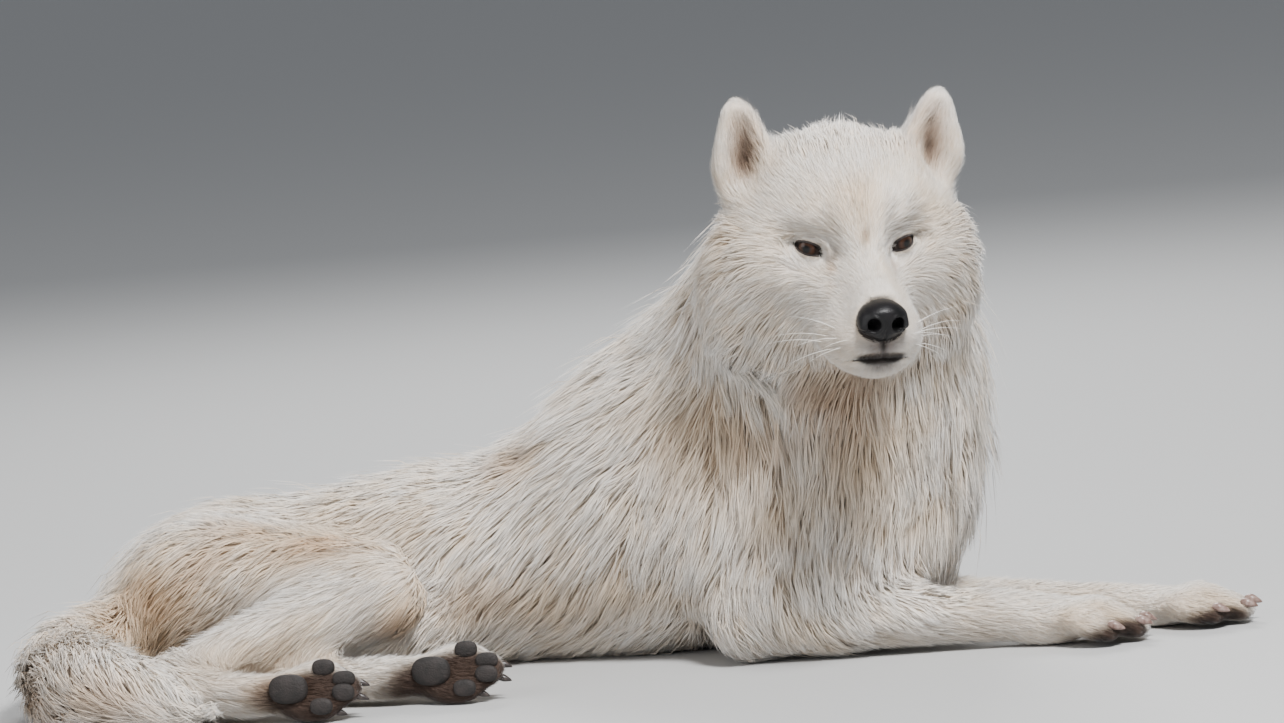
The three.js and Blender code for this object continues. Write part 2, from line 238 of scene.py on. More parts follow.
def to_path(points, path):
    """Distance to a bent line, and how far along it the nearest place lies, from 0 to 1."""
    path = np.array(path, float)
    best, share = np.full(len(points), np.inf), np.zeros(len(points))
    for i in range(len(path) - 1):
        along = path[i + 1] - path[i]
        t = np.clip(((points - path[i]) @ along) / (along @ along), 0, 1)
        gap = np.linalg.norm(points - path[i] - t[:, None] * along, axis=1)
        closer = gap < best
        best[closer] = gap[closer]
        share[closer] = (i + t[closer]) / (len(path) - 1)
    return best, share


def lid_outline():
    """The opening between the lids, as points across and up from its middle."""
    s = np.linspace(-1, 1, 81)
    lean = 0.12 * (1 - s * s)
    upper = UPPER_LID * (1 - np.abs(s + lean) ** 2.1) ** 0.85
    lower = -LOWER_LID * (1 - np.abs(s - 1.8 * lean) ** 2.4) ** 0.9
    inner_dip = -1.6 * np.exp(-((s + 1) / 0.22) ** 2)
    return LID_HALF_WIDTH * s, upper + inner_dip, np.minimum(lower, upper) + inner_dip


def eye_place(folded):
    """Across and up from the middle of the lids, the gap to their edge, less than 0 between them, and the
    nearest place on that edge."""
    offset = folded - LID_MIDDLE
    u, v = offset @ LID_ACROSS, offset @ LID_UP
    across, upper, lower = lid_outline()
    rim = np.concatenate([np.stack([across, upper], 1), np.stack([across, lower], 1)[::-1]])
    gap = np.full(len(u), 99.0)
    nearest = np.stack([u, v], 1)
    close = np.flatnonzero((np.abs(u) < 34) & (np.abs(v) < 30) & (offset @ EYE_AXIS > -22))
    if len(close):
        q = np.stack([u[close], v[close]], 1)
        d = np.linalg.norm(q[:, None, :] - rim[None], axis=2)
        closest = d.argmin(1)
        inside = np.abs(q[:, 0]) < LID_HALF_WIDTH
        inside &= q[:, 1] < np.interp(q[:, 0], across, upper)
        inside &= q[:, 1] > np.interp(q[:, 0], across, lower)
        gap[close] = np.where(inside, -1, 1) * d[np.arange(len(close)), closest]
        nearest[close] = rim[closest]
    return u, v, gap, nearest


def nose_gap(folded):
    """How far points lie off the nose leather."""
    return NOSE_SCALE * (np.linalg.norm((folded - NOSE_CENTRE) / NOSE_RADII, axis=1) - 1)


# ---- the coat's map ----------------------------------------------------------------------------------
# Each stretch of the body: its middle line from a to b, its radius there, the way the hair points,
# and the coat: how deep it stands over the skin, how long its tufts are, how wide, how close, how clumped.


def stretch(name, a, b, radius, flow, depth, length, width=1.98, density=1.0, clump=0.5, free=0.15,
            head=False):
    a, b = (np.array(p, float) for p in (a, b))
    flow = b - a if isinstance(flow, str) else np.array(flow, float)
    if head:
        a, b = from_head([a, b])
        flow = flow @ HEAD_AXES.T
    flow = flow / np.linalg.norm(flow)
    return dict(name=name, a=a, b=b, radius=radius, flow=flow, depth=depth, length=length,
                width=width, density=density, clump=clump, free=free)


def head_pair(name, a, b, radius, flow, *coat):
    """The same stretch on both sides of the head."""
    for side, s in (("right", -1), ("left", 1)):
        flip = np.array((1, s, 1))
        yield stretch(f"{name}_{side}", np.array(a) * flip, np.array(b) * flip, radius,
                      np.array(flow) * flip, *coat, head=True)


STRETCHES = [
    stretch("nape", (0, 0, 330), (-70, 0, 260), 80, (-0.75, 0.2, -0.6), 26, 66),
    stretch("ruff_breast", (86, -80, 290), (96, -50, 170), 110, (0.1, -0.15, -1), 30, 74, clump=0.8,
            free=0.5),
    stretch("ruff_left", (80, 30, 300), (60, 40, 180), 90, (-0.1, 0.3, -1), 28, 72, clump=0.75, free=0.7),
    stretch("withers", (-70, 4, 210), (-150, 4, 174), 94, (-0.75, 0, -0.6), 26, 70, clump=0.6),
    stretch("shoulder_right", (0, -70, 150), (-60, -70, 60), 80, (-0.2, -0.05, -1), 20, 66, clump=0.75),
    stretch("shoulder_left", (0, 70, 150), (-60, 70, 60), 80, (-0.35, 0.05, -1), 20, 62, clump=0.7),
    stretch("back", (-170, 0, 110), (-500, 0, 90), 92, (-1, 0, -0.35), 18, 54, free=0.35),
    stretch("flank_right", (-170, -50, 60), (-420, -40, 50), 70, (-0.45, 0, -1), 18, 58, clump=0.7),
    stretch("flank_left", (-170, 50, 60), (-520, 50, 50), 70, (-0.7, 0, -0.8), 18, 56, clump=0.6),
    stretch("rump", (-540, -4, 70), (-590, -6, 60), 96, (-0.7, 0, -0.75), 22, 54, 2, 1.1, 0.6, 0.15),
    stretch("arm_right", (36, -84, 120), (-30, -106, 50), 42, (-0.6, -0.1, -1), 12, 48, clump=0.7),
    stretch("arm_left", (40, 78, 120), (28, 52, 40), 42, (-0.5, 0.1, -1), 12, 48, clump=0.7),
    stretch("forearm_right", (-10, -102, 40), (206, -84, 27), 26, "along", 6, 20, 1.6, 1.5, 0.4),
    stretch("forearm_left", (60, 40, 26), (292, -14, 21), 22, "along", 5, 18, 1.6, 1.5, 0.4),
    stretch("forepaw_right", (226, -84, 24), (320, -90, 18), 20, "along", 3, 10, 1.2, 2.2, 0.3),
    stretch("forepaw_left", (314, -16, 20), (408, -26, 16), 18, "along", 3, 10, 1.2, 2.2, 0.3),
    stretch("foretoes_right", (306, -87, 22), (322, -91, 18), 19, (1, 0, -0.5), 3, 15, 1.2, 2, 0.6, 0.5),
    stretch("foretoes_left", (392, -24, 19), (408, -27, 16), 17, (1, 0, -0.5), 3, 15, 1.2, 2, 0.6, 0.5),
    stretch("thigh", (-530, -80, 84), (-346, -158, 90), 56, (-0.8, -0.25, -0.55), 13, 29, 1.7, 1.1, 0.6),
    stretch("shank", (-360, -160, 84), (-548, -262, 30), 34, "along", 8, 28, 1.8, 1.3, 0.4),
    stretch("hock_right", (-548, -262, 30), (-440, -280, 24), 22, "along", 5, 16, 1.5, 1.6, 0.3),
    stretch("hindpaw_right", (-420, -282, 25), (-335, -286, 22), 20, "along", 3, 11, 1.2, 2.2, 0.4),
    stretch("thigh_left", (-500, -10, 62), (-330, -70, 48), 44, (-0.7, 0, -0.7), 11, 29, 1.7, 1.1, 0.6),
    stretch("shank_left", (-330, -70, 48), (-446, -206, 24), 28, "along", 7, 26, 1.8, 1.2, 0.4),
    stretch("hock_left", (-446, -206, 24), (-330, -224, 24), 22, "along", 5, 16, 1.5, 1.6, 0.3),
    stretch("hindpaw_left", (-310, -226, 25), (-222, -230, 24), 20, "along", 3, 11, 1.2, 2.2, 0.4),
    stretch("tail_root", (-604, -50, 48), (-636, -120, 46), 46, "along", 24, 62, 2, 1.1, 0.6, 0.08),
    stretch("tail_bend", (-636, -120, 46), (-604, -268, 42), 46, "along", 24, 64, 2, 1.1, 0.6, 0.08),
    stretch("tail_end", (-604, -268, 42), (-460, -346, 26), 40, "along", 22, 62, 2, 1.1, 0.6, 0.08),
    stretch("bridge", (96, 0, -22), (26, 0, -14), 16, (-1, 0, 0.12), 1.8, 9, 0.9, 3, 0.2, head=True),
    stretch("forehead", (-10, 0, 16), (-60, 0, 66), 30, (-0.55, 0, 0.85), 4, 17, 1.2, 2, 0.3, head=True),
    stretch("crown", (-90, 0, 56), (-120, 0, 30), 50, (-0.8, 0, 0.5), 12, 38, 1.8, 1.2, 0.5, head=True),
    stretch("crest", (-66, -44, 74), (-66, 44, 74), 14, (-0.9, 0, 0.6), 15, 44, 1.5, 1.4, 0.8, 0.95,
            head=True),
    stretch("chin", (76, 0, -76), (30, 0, -86), 20, (-1, 0, -0.25), 2, 9, 1, 2.4, 0.3, head=True),
    stretch("throat", (10, 0, -100), (-50, 0, -110), 36, (-0.5, 0, -1), 9, 44, 1.8, 1.3, 0.7, 0.6,
            head=True),
]
HEAD_PAIRS = [  # the wolf's left one of each
    ("lip", (92, 15, -46), (36, 28, -58), 24, (-1, 0.25, -0.2), 1.8, 9, 0.9, 3, 0.2),
    ("under_eye", (20, 34, -22), (-10, 52, -26), 18, (-1, 0.6, -0.35), 2.5, 13, 1.1, 2.4, 0.3),
    ("brow", (-4, 30, 22), (-30, 56, 26), 16, (-0.7, 0.5, 0.6), 3.5, 15, 1.1, 2.2, 0.3),
    ("temple", (-44, 66, 14), (-60, 80, 0), 26, (-0.7, 0.75, 0.05), 7, 29, 1.4, 1.5, 0.6, 0.9),
    ("cheek", (-20, 70, -36), (-46, 84, -40), 34, (-0.6, 0.75, -0.55), 9, 38, 1.5, 1.5, 0.7, 0.9),
    ("cheek_ruff", (-48, 94, -66), (-40, 72, -112), 38, (-0.12, 0.2, -1), 17, 72, 1.9, 1.15, 0.8, 0.85),
    ("cheek_lobe", (-40, 82, -86), (-2, 66, -98), 30, (-0.25, 0.12, -1), 15, 76, 1.9, 1.2, 0.85, 0.85),
    ("ear", (-76, 80, 44), (-82, 88, 92), 16, (-0.2, 0.1, 1), 1.5, 10, 1, 2.2, 0.3),
    ("ear_fringe", (-72, 66, 36), (-76, 72, 78), 7, (0.2, 0.7, 0.8), 1.5, 24, 1.1, 2, 0.6, 0.8),
]
STRETCHES += [part for pair in HEAD_PAIRS for part in head_pair(*pair)]
REACH = 26.0  # how far one stretch's coat runs into the next
TRAITS = ("depth", "length", "width", "density", "clump", "free")


def gap_to(part, points):
    """How far points lie outside a stretch, less than 0 inside it."""
    along = part["b"] - part["a"]
    t = np.clip(((points - part["a"]) @ along) / (along @ along), 0, 1)
    return np.linalg.norm(points - part["a"] - t[:, None] * along, axis=1) - part["radius"]


def coat_at(points):
    """The coat's traits and the way it points, at points in millimetres."""
    total = np.zeros(len(points))
    mean = {trait: np.zeros(len(points)) for trait in TRAITS}
    flow = np.zeros_like(points)
    for part in STRETCHES:
        gap = gap_to(part, points)
        near = min(REACH, max(14, 0.75 * part["radius"]))
        weight = np.exp(-0.5 * (np.maximum(gap, -0.5 * part["radius"]) / near) ** 2) / near ** 2 + 1e-12
        total += weight
        flow += weight[:, None] * part["flow"]
        for trait in TRAITS:
            mean[trait] += weight * part[trait]
    traits = {trait: mean[trait] / total for trait in TRAITS}
    f = fold(to_head(points))
    from_eye = np.maximum(eye_place(f)[2], 0)
    from_nose = nose_gap(f)
    from_mouth = to_path(f, MOUTH)[0]
    short = (0.30 + 0.70 * ramp(from_eye, 1, 18)) * (0.4 + 0.6 * ramp(from_nose, 0, 30))
    short *= 0.55 + 0.45 * ramp(from_mouth, 1, 9)
    traits["length"] *= short
    traits["width"] *= short ** 0.3
    traits["density"] *= short ** -0.5
    pressed = 0.3 + 0.7 * ramp(points[:, 2], 0, 16)
    traits["depth"] *= pressed
    traits["length"] *= pressed ** 0.5
    return traits, flow


# ---- skin --------------------------------------------------------------------------------------------
FLESH = ["head", "neck", "trunk", "tail", "ear_right", "ear_left",
         "foreleg_right", "foreleg_left", "hindleg_right", "hindleg_left"]
SKIN_GRAIN = 3.4  # edge length of the skin's mesh, before the face is refined
INSET_STEPS = 8
TOE_GAPS = [((312, -114, 6), (9, 14, 15)), ((290, -118, 4), (9, 14, 11)), ((336, -98, 5), (7, 13, 11)),
            ((398, -50, 6), (9, 14, 15)), ((376, -54, 4), (9, 14, 11)), ((421, -34, 5), (7, 13, 11))]


def keep_largest(obj):
    """Deletes every loose island but the largest."""
    bm = bmesh.new()
    bm.from_mesh(obj.data)
    left = set(bm.verts)
    islands = []
    while left:
        stack = [left.pop()]
        island = list(stack)
        while stack:
            for edge in stack.pop().link_edges:
                for v in edge.verts:
                    if v in left:
                        left.remove(v)
                        island.append(v)
                        stack.append(v)
        islands.append(island)
    islands.sort(key=len)
    bmesh.ops.delete(bm, geom=[v for island in islands[:-1] for v in island], context="VERTS")
    bm.to_mesh(obj.data)
    bm.free()


def evened(skin):
    """Gives the skin one even mesh; its edges, its points and the coat's depth there."""
    finish_with(skin, "REMESH", mode="VOXEL", voxel_size=SKIN_GRAIN * MM)
    keep_largest(skin)
    points = points_of(skin.data)
    return edges_of(skin.data), points, coat_at(points)[0]["depth"]


def model_skin():
    """The solids fused and drawn in by the depth of the coat."""
    skin = copy_of("skin", FLESH)
    set_points(skin.data, points_of(skin.data) + 0.5 * normals_of(skin.data))
    edges, points, depth = evened(skin)
    soft = 0.12 + 0.38 * ramp(depth, 2.5, 9)
    points = smoothed(points, edges, 6, soft)
    depth = smoothed(depth, edges, 10)
    for _ in range(INSET_STEPS):
        set_points(skin.data, points)
        outward = unit(smoothed(normals_of(skin.data), edges, 4))
        points = smoothed(points - outward * depth[:, None] / INSET_STEPS, edges, 2, 0.7 * soft)
    set_points(skin.data, points)
    edges, points, depth = evened(skin)
    points = smoothed(points, edges, 3, 0.2 + 0.3 * ramp(depth, 2.5, 9))
    set_points(skin.data, points)
    outward = normals_of(skin.data)
    crease = ((smoothed(points, edges, 70) - points) * outward).sum(1)
    points += smoothed(outward * (np.maximum(crease, 0) * ramp(depth, 7, 12))[:, None], edges, 8)
    for centre, radii in TOE_GAPS:
        points += bump(points, centre, radii)[:, None] * np.array((0, 5.0, 1.5))
    set_points(skin.data, points)
    return skin


# ---- the head's forms ---------------------------------------------------------------------------------
HEAD_REACH = 190  # from between the eyes
HEAD_FORMS = [  # centre, radii and push, in the folded head frame
    ((0, 38, 24), (22, 28, 16), (3.0, 1.5, 1.5)),
    ((13, 23, -1), (14, 12, 13), (-4.0, -3.0, -1.0)),
    ((14, 0, 24), (20, 8, 28), (-2.5, 0, -1.2)),
    ((26, 26, -22), (22, 8, 9), (-1.5, -2.0, -1.0)),
    ((0, 58, -26), (34, 34, 28), (2.0, 2.0, 0)),
    ((42, 46, -40), (22, 16, 22), (-2.0, -5.0, 0)),
    ((86, 25, -53), (20, 14, 15), (2.0, 3.0, 0)),
    ((88, 0, -82), (14, 18, 10), (2.5, 0, -1.0)),
    ((94, 0, -73), (9, 22, 4), (-2.0, 0, 0)),
    ((70, 0, -4), (40, 12, 10), (0, 0, -1.5)),
]


def refine(obj, chosen):
    """Splits the faces whose corners are all chosen."""
    mesh = obj.data
    pick(obj)
    bpy.ops.object.mode_set(mode="EDIT")
    bpy.ops.mesh.select_mode(type="FACE")
    bpy.ops.mesh.select_all(action="DESELECT")
    bpy.ops.object.mode_set(mode="OBJECT")
    inside = chosen(fold(to_head(points_of(mesh))))
    starts = read(mesh.polygons, "loop_start", 1, np.int32)
    mesh.polygons.foreach_set("select", np.logical_and.reduceat(inside[corners_of(mesh)], starts))
    bpy.ops.object.mode_set(mode="EDIT")
    bpy.ops.mesh.subdivide(number_cuts=1, smoothness=0)
    bpy.ops.object.mode_set(mode="OBJECT")


def sculpt_head(skin):
    """Brows, lids, lips and ears, moved out of the plain head."""
    mesh = skin.data
    refine(skin, lambda f: (f[:, 0] > -30) & (f[:, 1] < 68) & (f[:, 2] > -112) & (f[:, 2] < 46))
    set_points(mesh, smoothed(points_of(mesh), edges_of(mesh), 2))
    refine(skin, lambda f: (np.linalg.norm((f - LID_MIDDLE) / (1, 1, 0.8), axis=1) < 24)
           | (to_path(f, MOUTH)[0] < 9))
    refine(skin, lambda f: np.abs(eye_place(f)[2]) < 3.5)
    points = points_of(mesh)
    edges = edges_of(mesh)
    in_head = (np.linalg.norm(to_head(points), axis=1) < HEAD_REACH)[:, None]
    points = np.where(in_head, smoothed(points, edges, 3, 0.4), points)
    under_cheek = bump(fold(to_head(points)), (-24, 72, -114), (66, 46, 44)) ** 0.5
    points = smoothed(points, edges, 70, 0.6 * under_cheek)
    local = to_head(points)
    side = np.where(local[:, 1] < 0, -1.0, 1.0)
    f = fold(local)
    for centre, radii, push in HEAD_FORMS:
        f = f + bump(f, centre, radii)[:, None] * np.array(push)
    f = hollow_ears(f)
    f = part_lips(f)
    f = open_lids(f)
    f = smoothed(f, edges, 8, 0.7 * bump(f, INNER_CORNER + (1.5, -1.5, -1), (6, 5, 5)))
    f[:, 1] *= side
    moved = np.where(in_head, from_head(f), points)
    set_points(mesh, moved)


def hollow_ears(f):
    """The bowl of each ear, open to the front and a little outwards."""
    facing = np.array((0.93, 0.36, 0.05)) / np.linalg.norm((0.93, 0.36, 0.05))
    rise = np.clip((f[:, 2] - 30) / 78, 0, 1)
    middle = np.stack([-66 - 12 * rise, 82 + 5 * rise, f[:, 2]], 1)
    half = 21 - 12 * rise ** 1.4
    offset = f - middle
    level = np.cross((0, 0, 1), facing)
    across = (offset @ level) / half
    front = offset @ facing
    bowl = np.clip(1 - across ** 2, 0, 1) ** 1.2 * ramp(f[:, 2], 26, 50) * ramp(110 - f[:, 2], 4, 22)
    deep = (17 - 9 * rise) * bowl * ramp(front, -10, 2) * (f[:, 1] > 50)
    return f - deep[:, None] * facing


def part_lips(f):
    """The groove between the lips, deepest in the middle, and the line below the nose."""
    gap, share = to_path(f, MOUTH)
    inward = np.array((-0.92, 0, 0)) + np.clip(f[:, 1:2] / 44, 0, 1) * np.array((0.3, -0.8, 0))
    groove = (5.0 - 4.4 * share) * np.exp(-(gap / 1.9) ** 2)
    lip = 1.0 * np.exp(-((gap - 5) / 2.4) ** 2) * (1 - 0.6 * share)
    philtrum = 2.0 * np.exp(-(f[:, 1] / 1.1) ** 2) * ramp(-f[:, 2], 44, 50) * ramp(f[:, 2], -70, -64)
    philtrum *= f[:, 0] > 88
    return f + inward * (groove - lip)[:, None] + np.array((-1, 0, 0)) * philtrum[:, None]


def open_lids(f):
    """The skin lies on the eyeball as two lids, and goes behind it between them."""
    u, v, gap, nearest = eye_place(f)
    close = np.abs(gap) < 16
    snap = np.clip(1 - np.abs(gap) / 0.9, 0, 1)[:, None] ** 0.5
    uv = np.stack([u, v], 1)
    uv = uv * (1 - snap) + nearest * snap
    from_ball = LID_MIDDLE - EYE_CENTRE
    bu, bv = uv[:, 0] + from_ball @ LID_ACROSS, uv[:, 1] + from_ball @ LID_UP
    flat = np.minimum(np.hypot(bu, bv), EYE_RADIUS + LID_THICKNESS - 0.5)
    ball = np.sqrt((EYE_RADIUS + LID_THICKNESS) ** 2 - flat ** 2) - from_ball @ EYE_AXIS
    deep = ball - LID_THICKNESS - 2.5 - 0.8 * np.clip(-gap, 0, 5)
    was = np.maximum((f - LID_MIDDLE) @ EYE_AXIS, 2.0 + 0.010 * (u ** 2 + v ** 2) - 9 * ramp(gap, 7, 15))
    hold = np.exp(-(np.clip(gap, 0, 99) / 6.0) ** 2)
    out = was * (1 - hold) + ball * hold
    crease = 0.9 * np.exp(-((gap - 4.2) / 1.1) ** 2) * ramp(uv[:, 1], 0, 3)
    out = np.where(gap < -0.35, deep, out - crease)
    placed = LID_MIDDLE + uv[:, :1] * LID_ACROSS + uv[:, 1:] * LID_UP + out[:, None] * EYE_AXIS
    return np.where(close[:, None], placed, f)


skin = model_skin()
sculpt_head(skin)
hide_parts(*FLESH)
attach(skin, "root")

# ---- marks: the coat's markings, with painted shade and painted light among them ---------------------
WHITE = (0.90, 0.875, 0.835)
CREAM = (0.76, 0.62, 0.46)
TAN = (0.55, 0.36, 0.22)
BROWN = (0.055, 0.034, 0.025)
GREY = (0.33, 0.31, 0.31)
DARK = (0.022, 0.016, 0.014)
UMBER = (0.20, 0.135, 0.10)

# colour, strength, centre, radii; the first list is in the row frame and the second in the head's
BODY_MARKS = [
    (CREAM, 1.0, (-410, -120, 138), (150, 90, 54)),
    (TAN, 0.6, (-392, -150, 136), (64, 40, 24)),
    (TAN, 0.5, (-480, -110, 152), (60, 50, 26)),
    (CREAM, 1.0, (-570, -130, 96), (100, 80, 60)),
    (TAN, 0.7, (-580, -146, 92), (60, 50, 30)),
    (TAN, 0.5, (-514, -145, 124), (40, 40, 24)),
    (BROWN, 0.5, (-487, -170, 90), (34, 26, 14)),
    (CREAM, 0.8, (-320, -160, 76), (60, 60, 40)),
    (TAN, 0.7, (-322, -190, 60), (34, 34, 22)),
    (CREAM, 0.8, (-200, -96, 60), (150, 60, 34)),
    (TAN, 0.5, (-270, -92, 74), (50, 40, 26)),
    (CREAM, 0.7, (-460, -230, 40), (90, 80, 40)),
    (TAN, 0.7, (-414, -300, 30), (40, 30, 24)),
    (CREAM, 0.9, (-600, -180, 40), (100, 170, 70)),
    (TAN, 0.7, (-560, -352, 44), (70, 40, 34)),
    (TAN, 0.5, (-616, -250, 30), (60, 90, 40)),
    (TAN, 0.7, (-246, -54, 192), (54, 40, 26)),
    (BROWN, 0.85, (-238, -56, 196), (32, 26, 18)),
    # painted shade: cream and tan on the neck beneath the cheek lobe stand for the lobe's shadow
    (CREAM, 0.9, (-50, -146, 212), (84, 56, 66)),
    (TAN, 0.7, (4, -164, 200), (72, 38, 26)),
    (CREAM, 0.6, (4, -154, 135), (50, 40, 50)),
    # painted shade: brown where the chest meets the top of the near forearm
    (BROWN, 0.75, (80, -132, 78), (30, 30, 14)),
    (CREAM, 0.9, (92, -164, 176), (56, 60, 90)),
    (TAN, 0.35, (84, -170, 190), (34, 40, 60)),
    (CREAM, 0.6, (140, -146, 190), (40, 50, 50)),
    # painted shadow: tan and umber on the throat under the chin
    (TAN, 1.4, (94, -190, 240), (86, 60, 38)),
    (UMBER, 1.0, (92, -194, 246), (74, 56, 28)),
    (BROWN, 2.2, (-43, -152, 163), (11, 16, 10)),
    (BROWN, 3.4, (-370, -312, 22), (86, 40, 45)),
    (BROWN, 3.4, (-256, -256, 24), (86, 40, 46)),
    (BROWN, 1.2, (-305, -244, 12), (44, 30, 20)),
    (CREAM, 0.7, (290, -100, 20), (60, 40, 26)),
    (BROWN, 2.0, (308, -114, 8), (50, 30, 20)),
    (CREAM, 0.7, (380, -50, 20), (60, 40, 26)),
    (BROWN, 2.0, (394, -58, 7), (48, 30, 18)),
]
HEAD_MARKS = [
    (CREAM, 0.8, (8, 0, 40), (34, 30, 36)),
    (CREAM, 0.8, (27, 1, 17), (18, 9, 12)),
    (UMBER, 0.9, (28, 2, 18), (11, 5, 6)),
    (GREY, 0.45, (80, 0, -52), (40, 46, 17)),
    # grey under the nose: darker hair there, and painted shade under the nose leather
    (GREY, 1.1, (101, 0, -54), (18, 22, 13)),
    (DARK, 0.9, (104, 0, -52), (12, 5, 11)),
    (DARK, 3.0, (99, 0, -66), (22, 26, 8)),
    (GREY, 0.8, (96, 0, -76), (16, 22, 7)),
    # painted shadow: tan and brown under the chin, at the top of the throat
    (TAN, 0.9, (36, 0, -100), (56, 60, 18)),
    (BROWN, 0.6, (30, 0, -108), (46, 60, 12)),
]
PAIRED_HEAD_MARKS = [
    # painted shade: grey in the hollow at the inner corner of each eye, and tan in the groove running down
    # from it
    (GREY, 0.55, (13, 25, -5), (14, 8, 11)),
    (TAN, 0.7, (20, 25, -14), (14, 8, 8)),
    (DARK, 0.9, (18, 22, 20), (4, 4, 4)),
    # painted shadow: grey below the eye's outer corner, the start of a streak of shade across the cheek
    (GREY, 0.35, (0, 52, -14), (30, 22, 9)),
    # painted shadow: tan and umber behind the corners of the lips, on the lower side of the muzzle
    (TAN, 0.9, (26, 56, -94), (48, 26, 17)),
    (UMBER, 0.45, (22, 58, -98), (38, 22, 12)),
    # painted shadow: umber further back on the cheek, the rest of that streak of shade
    (UMBER, 0.30, (-22, 74, -34), (46, 22, 9)),
    (CREAM, 0.7, (-34, 80, -58), (30, 26, 14)),
    # painted light: the cheek lobe kept bright white, standing out against the painted shade below it
    (WHITE, 0.9, (-34, 84, -104), (46, 30, 34)),
    # ear lining: the cream and tan are its own; the umber, brown and near black deeper in the bowl are
    # painted shade in the hollow
    (CREAM, 0.8, (-64, 60, 44), (30, 24, 36)),
    (TAN, 0.8, (-82, 82, 64), (24, 25, 50)),
    (UMBER, 1.0, (-86, 79, 58), (20, 18, 40)),
    (BROWN, 0.9, (-88, 78, 52), (16, 14, 32)),
    (DARK, 0.9, (-90, 77, 46), (13, 11, 24)),
]


def coat_colour(points):
    """The coat's colour at points of the body, in linear red, green and blue: its markings, with painted
    shade and painted light among the marks.
    """
    colour = np.tile(np.array(WHITE), (len(points), 1))

    def lay(tint, strength, weight):
        w = np.clip(strength * weight, 0, 1)[:, None]
        colour[:] = colour * (1 - w) + np.array(tint) * w

    # the gaps between the toes are painted near black as painted shade
    for tint, strength, centre, radii in BODY_MARKS + [(DARK, 1.6, *gap) for gap in TOE_GAPS]:
        lay(tint, strength, bump(points, centre, radii) ** 0.7)
    local = to_head(points)
    for tint, strength, centre, radii in HEAD_MARKS:
        lay(tint, strength, bump(local, centre, radii) ** 0.7)
    for tint, strength, centre, radii in PAIRED_HEAD_MARKS:
        lay(tint, strength, bump(fold(local), centre, radii) ** 0.7)
    return colour


def warmed_and_shaded(colour, points):
    """Warmer stretches of the coat's own tone and greyer stretches of painted shade, a hand's breadth apart,
    on the long coat more than on the face.
    """
    deep = ramp(np.linalg.norm(to_head(points) - (60, 0, -20), axis=1), 40, 130)[:, None]
    warm = ramp(drift(points, 95, 11), 0.0, 1.1)[:, None] * (0.08 + 0.26 * deep)
    grey_shade = ramp(drift(points, 50, 12), 0.1, 1.2)[:, None] * (0.04 + 0.12 * deep)
    colour = colour * (1 - warm) + colour * np.array((0.93, 0.80, 0.64)) * warm
    return colour * (1 - grey_shade) + colour * np.array((0.62, 0.60, 0.60)) * grey_shade


def skin_colour(points):
    """The coat's colour, a little darker as painted shade under the coat, with black-brown rims to the lids,
    lips and nose.
    """
    colour = warmed_and_shaded(coat_colour(points), points) * (0.86, 0.80, 0.74)
    f = fold(to_head(points))
    u, v, gap, _ = eye_place(f)
    tear = bump(f, INNER_CORNER + (1.5, -2.0, -1.5), (5, 4, 3))
    rim = np.maximum(ramp(2.1 - gap, 0, 0.8) * (gap < 5), ramp(tear, 0.1, 0.4))
    from_mouth, share = to_path(f, MOUTH)
    lips = ramp(4.6 - 4.0 * share - from_mouth, 0, 1)
    from_nose = nose_gap(f)
    bare = np.maximum(np.maximum(rim, lips), ramp(2.5 - from_nose, 0, 1.5))[:, None]
    return colour * (1 - bare) + np.array(DARK) * bare


def set_colour(mesh, colour):
    layer = mesh.color_attributes.new("coat_colour", "FLOAT_COLOR", "POINT")
    rgba = np.ones((len(colour), 4), np.float32)
    rgba[:, :3] = colour
    layer.data.foreach_set("color", rgba.ravel())


def new_material(name, roughness, **values):
    """A material's node tree and its shader, with the values that are the same all over its surface."""
    material = bpy.data.materials.new(name)
    material.use_nodes = True
    shader = material.node_tree.nodes["Principled BSDF"]
    shader.inputs["Roughness"].default_value = roughness
    for title, value in values.items():
        shader.inputs[title.replace("_", " ")].default_value = value
    return material, material.node_tree, shader


def node_in(tree, kind, feeds=(), **settings):
    """A shader node; each input named in feeds is linked to a socket or set to a value."""
    node = tree.nodes.new("ShaderNode" + kind)
    for key, value in settings.items():
        setattr(node, key, value)
    for title, value in dict(feeds).items():
        if isinstance(value, bpy.types.NodeSocket):
            tree.links.new(value, node.inputs[title])
        else:
            node.inputs[title].default_value = value
    return node


def noise(tree, scale, detail, **feeds):
    return node_in(tree, "TexNoise", {"Scale": scale, "Detail": detail, **feeds}).outputs["Fac"]


def spread(tree, value, low, high, start=0.0, end=1.0):
    """A value from low to high laid out from start to end."""
    return node_in(tree, "MapRange", {"Value": value, "From Min": low, "From Max": high, "To Min": start,
                                      "To Max": end}).outputs["Result"]


def mixed(tree, blend, share, colour, tint):
    """A colour blended with another one by a share."""
    node = node_in(tree, "Mix", data_type="RGBA", blend_type=blend)
    tree.links.new(share, node.inputs[0])
    tree.links.new(colour, node.inputs[6])
    if isinstance(tint, tuple):
        node.inputs[7].default_value = (*tint, 1)
    else:
        tree.links.new(tint, node.inputs[7])
    return node.outputs[2]


def relief(tree, height, strength, distance, **settings):
    return node_in(tree, "Bump", {"Height": height, "Strength": strength, "Distance": distance},
                   **settings).outputs["Normal"]


def group_of(name, takes):
    """A shader node group that gives a colour and a normal: its tree, what it takes and what it gives."""
    tree = bpy.data.node_groups.new(name, "ShaderNodeTree")
    for title, kind, start in takes:
        socket = tree.interface.new_socket(title, in_out="INPUT", socket_type="NodeSocket" + kind)
        socket.default_value = start
    tree.interface.new_socket("Colour", in_out="OUTPUT", socket_type="NodeSocketColor")
    tree.interface.new_socket("Normal", in_out="OUTPUT", socket_type="NodeSocketVector")
    return tree, tree.nodes.new("NodeGroupInput").outputs, tree.nodes.new("NodeGroupOutput").inputs


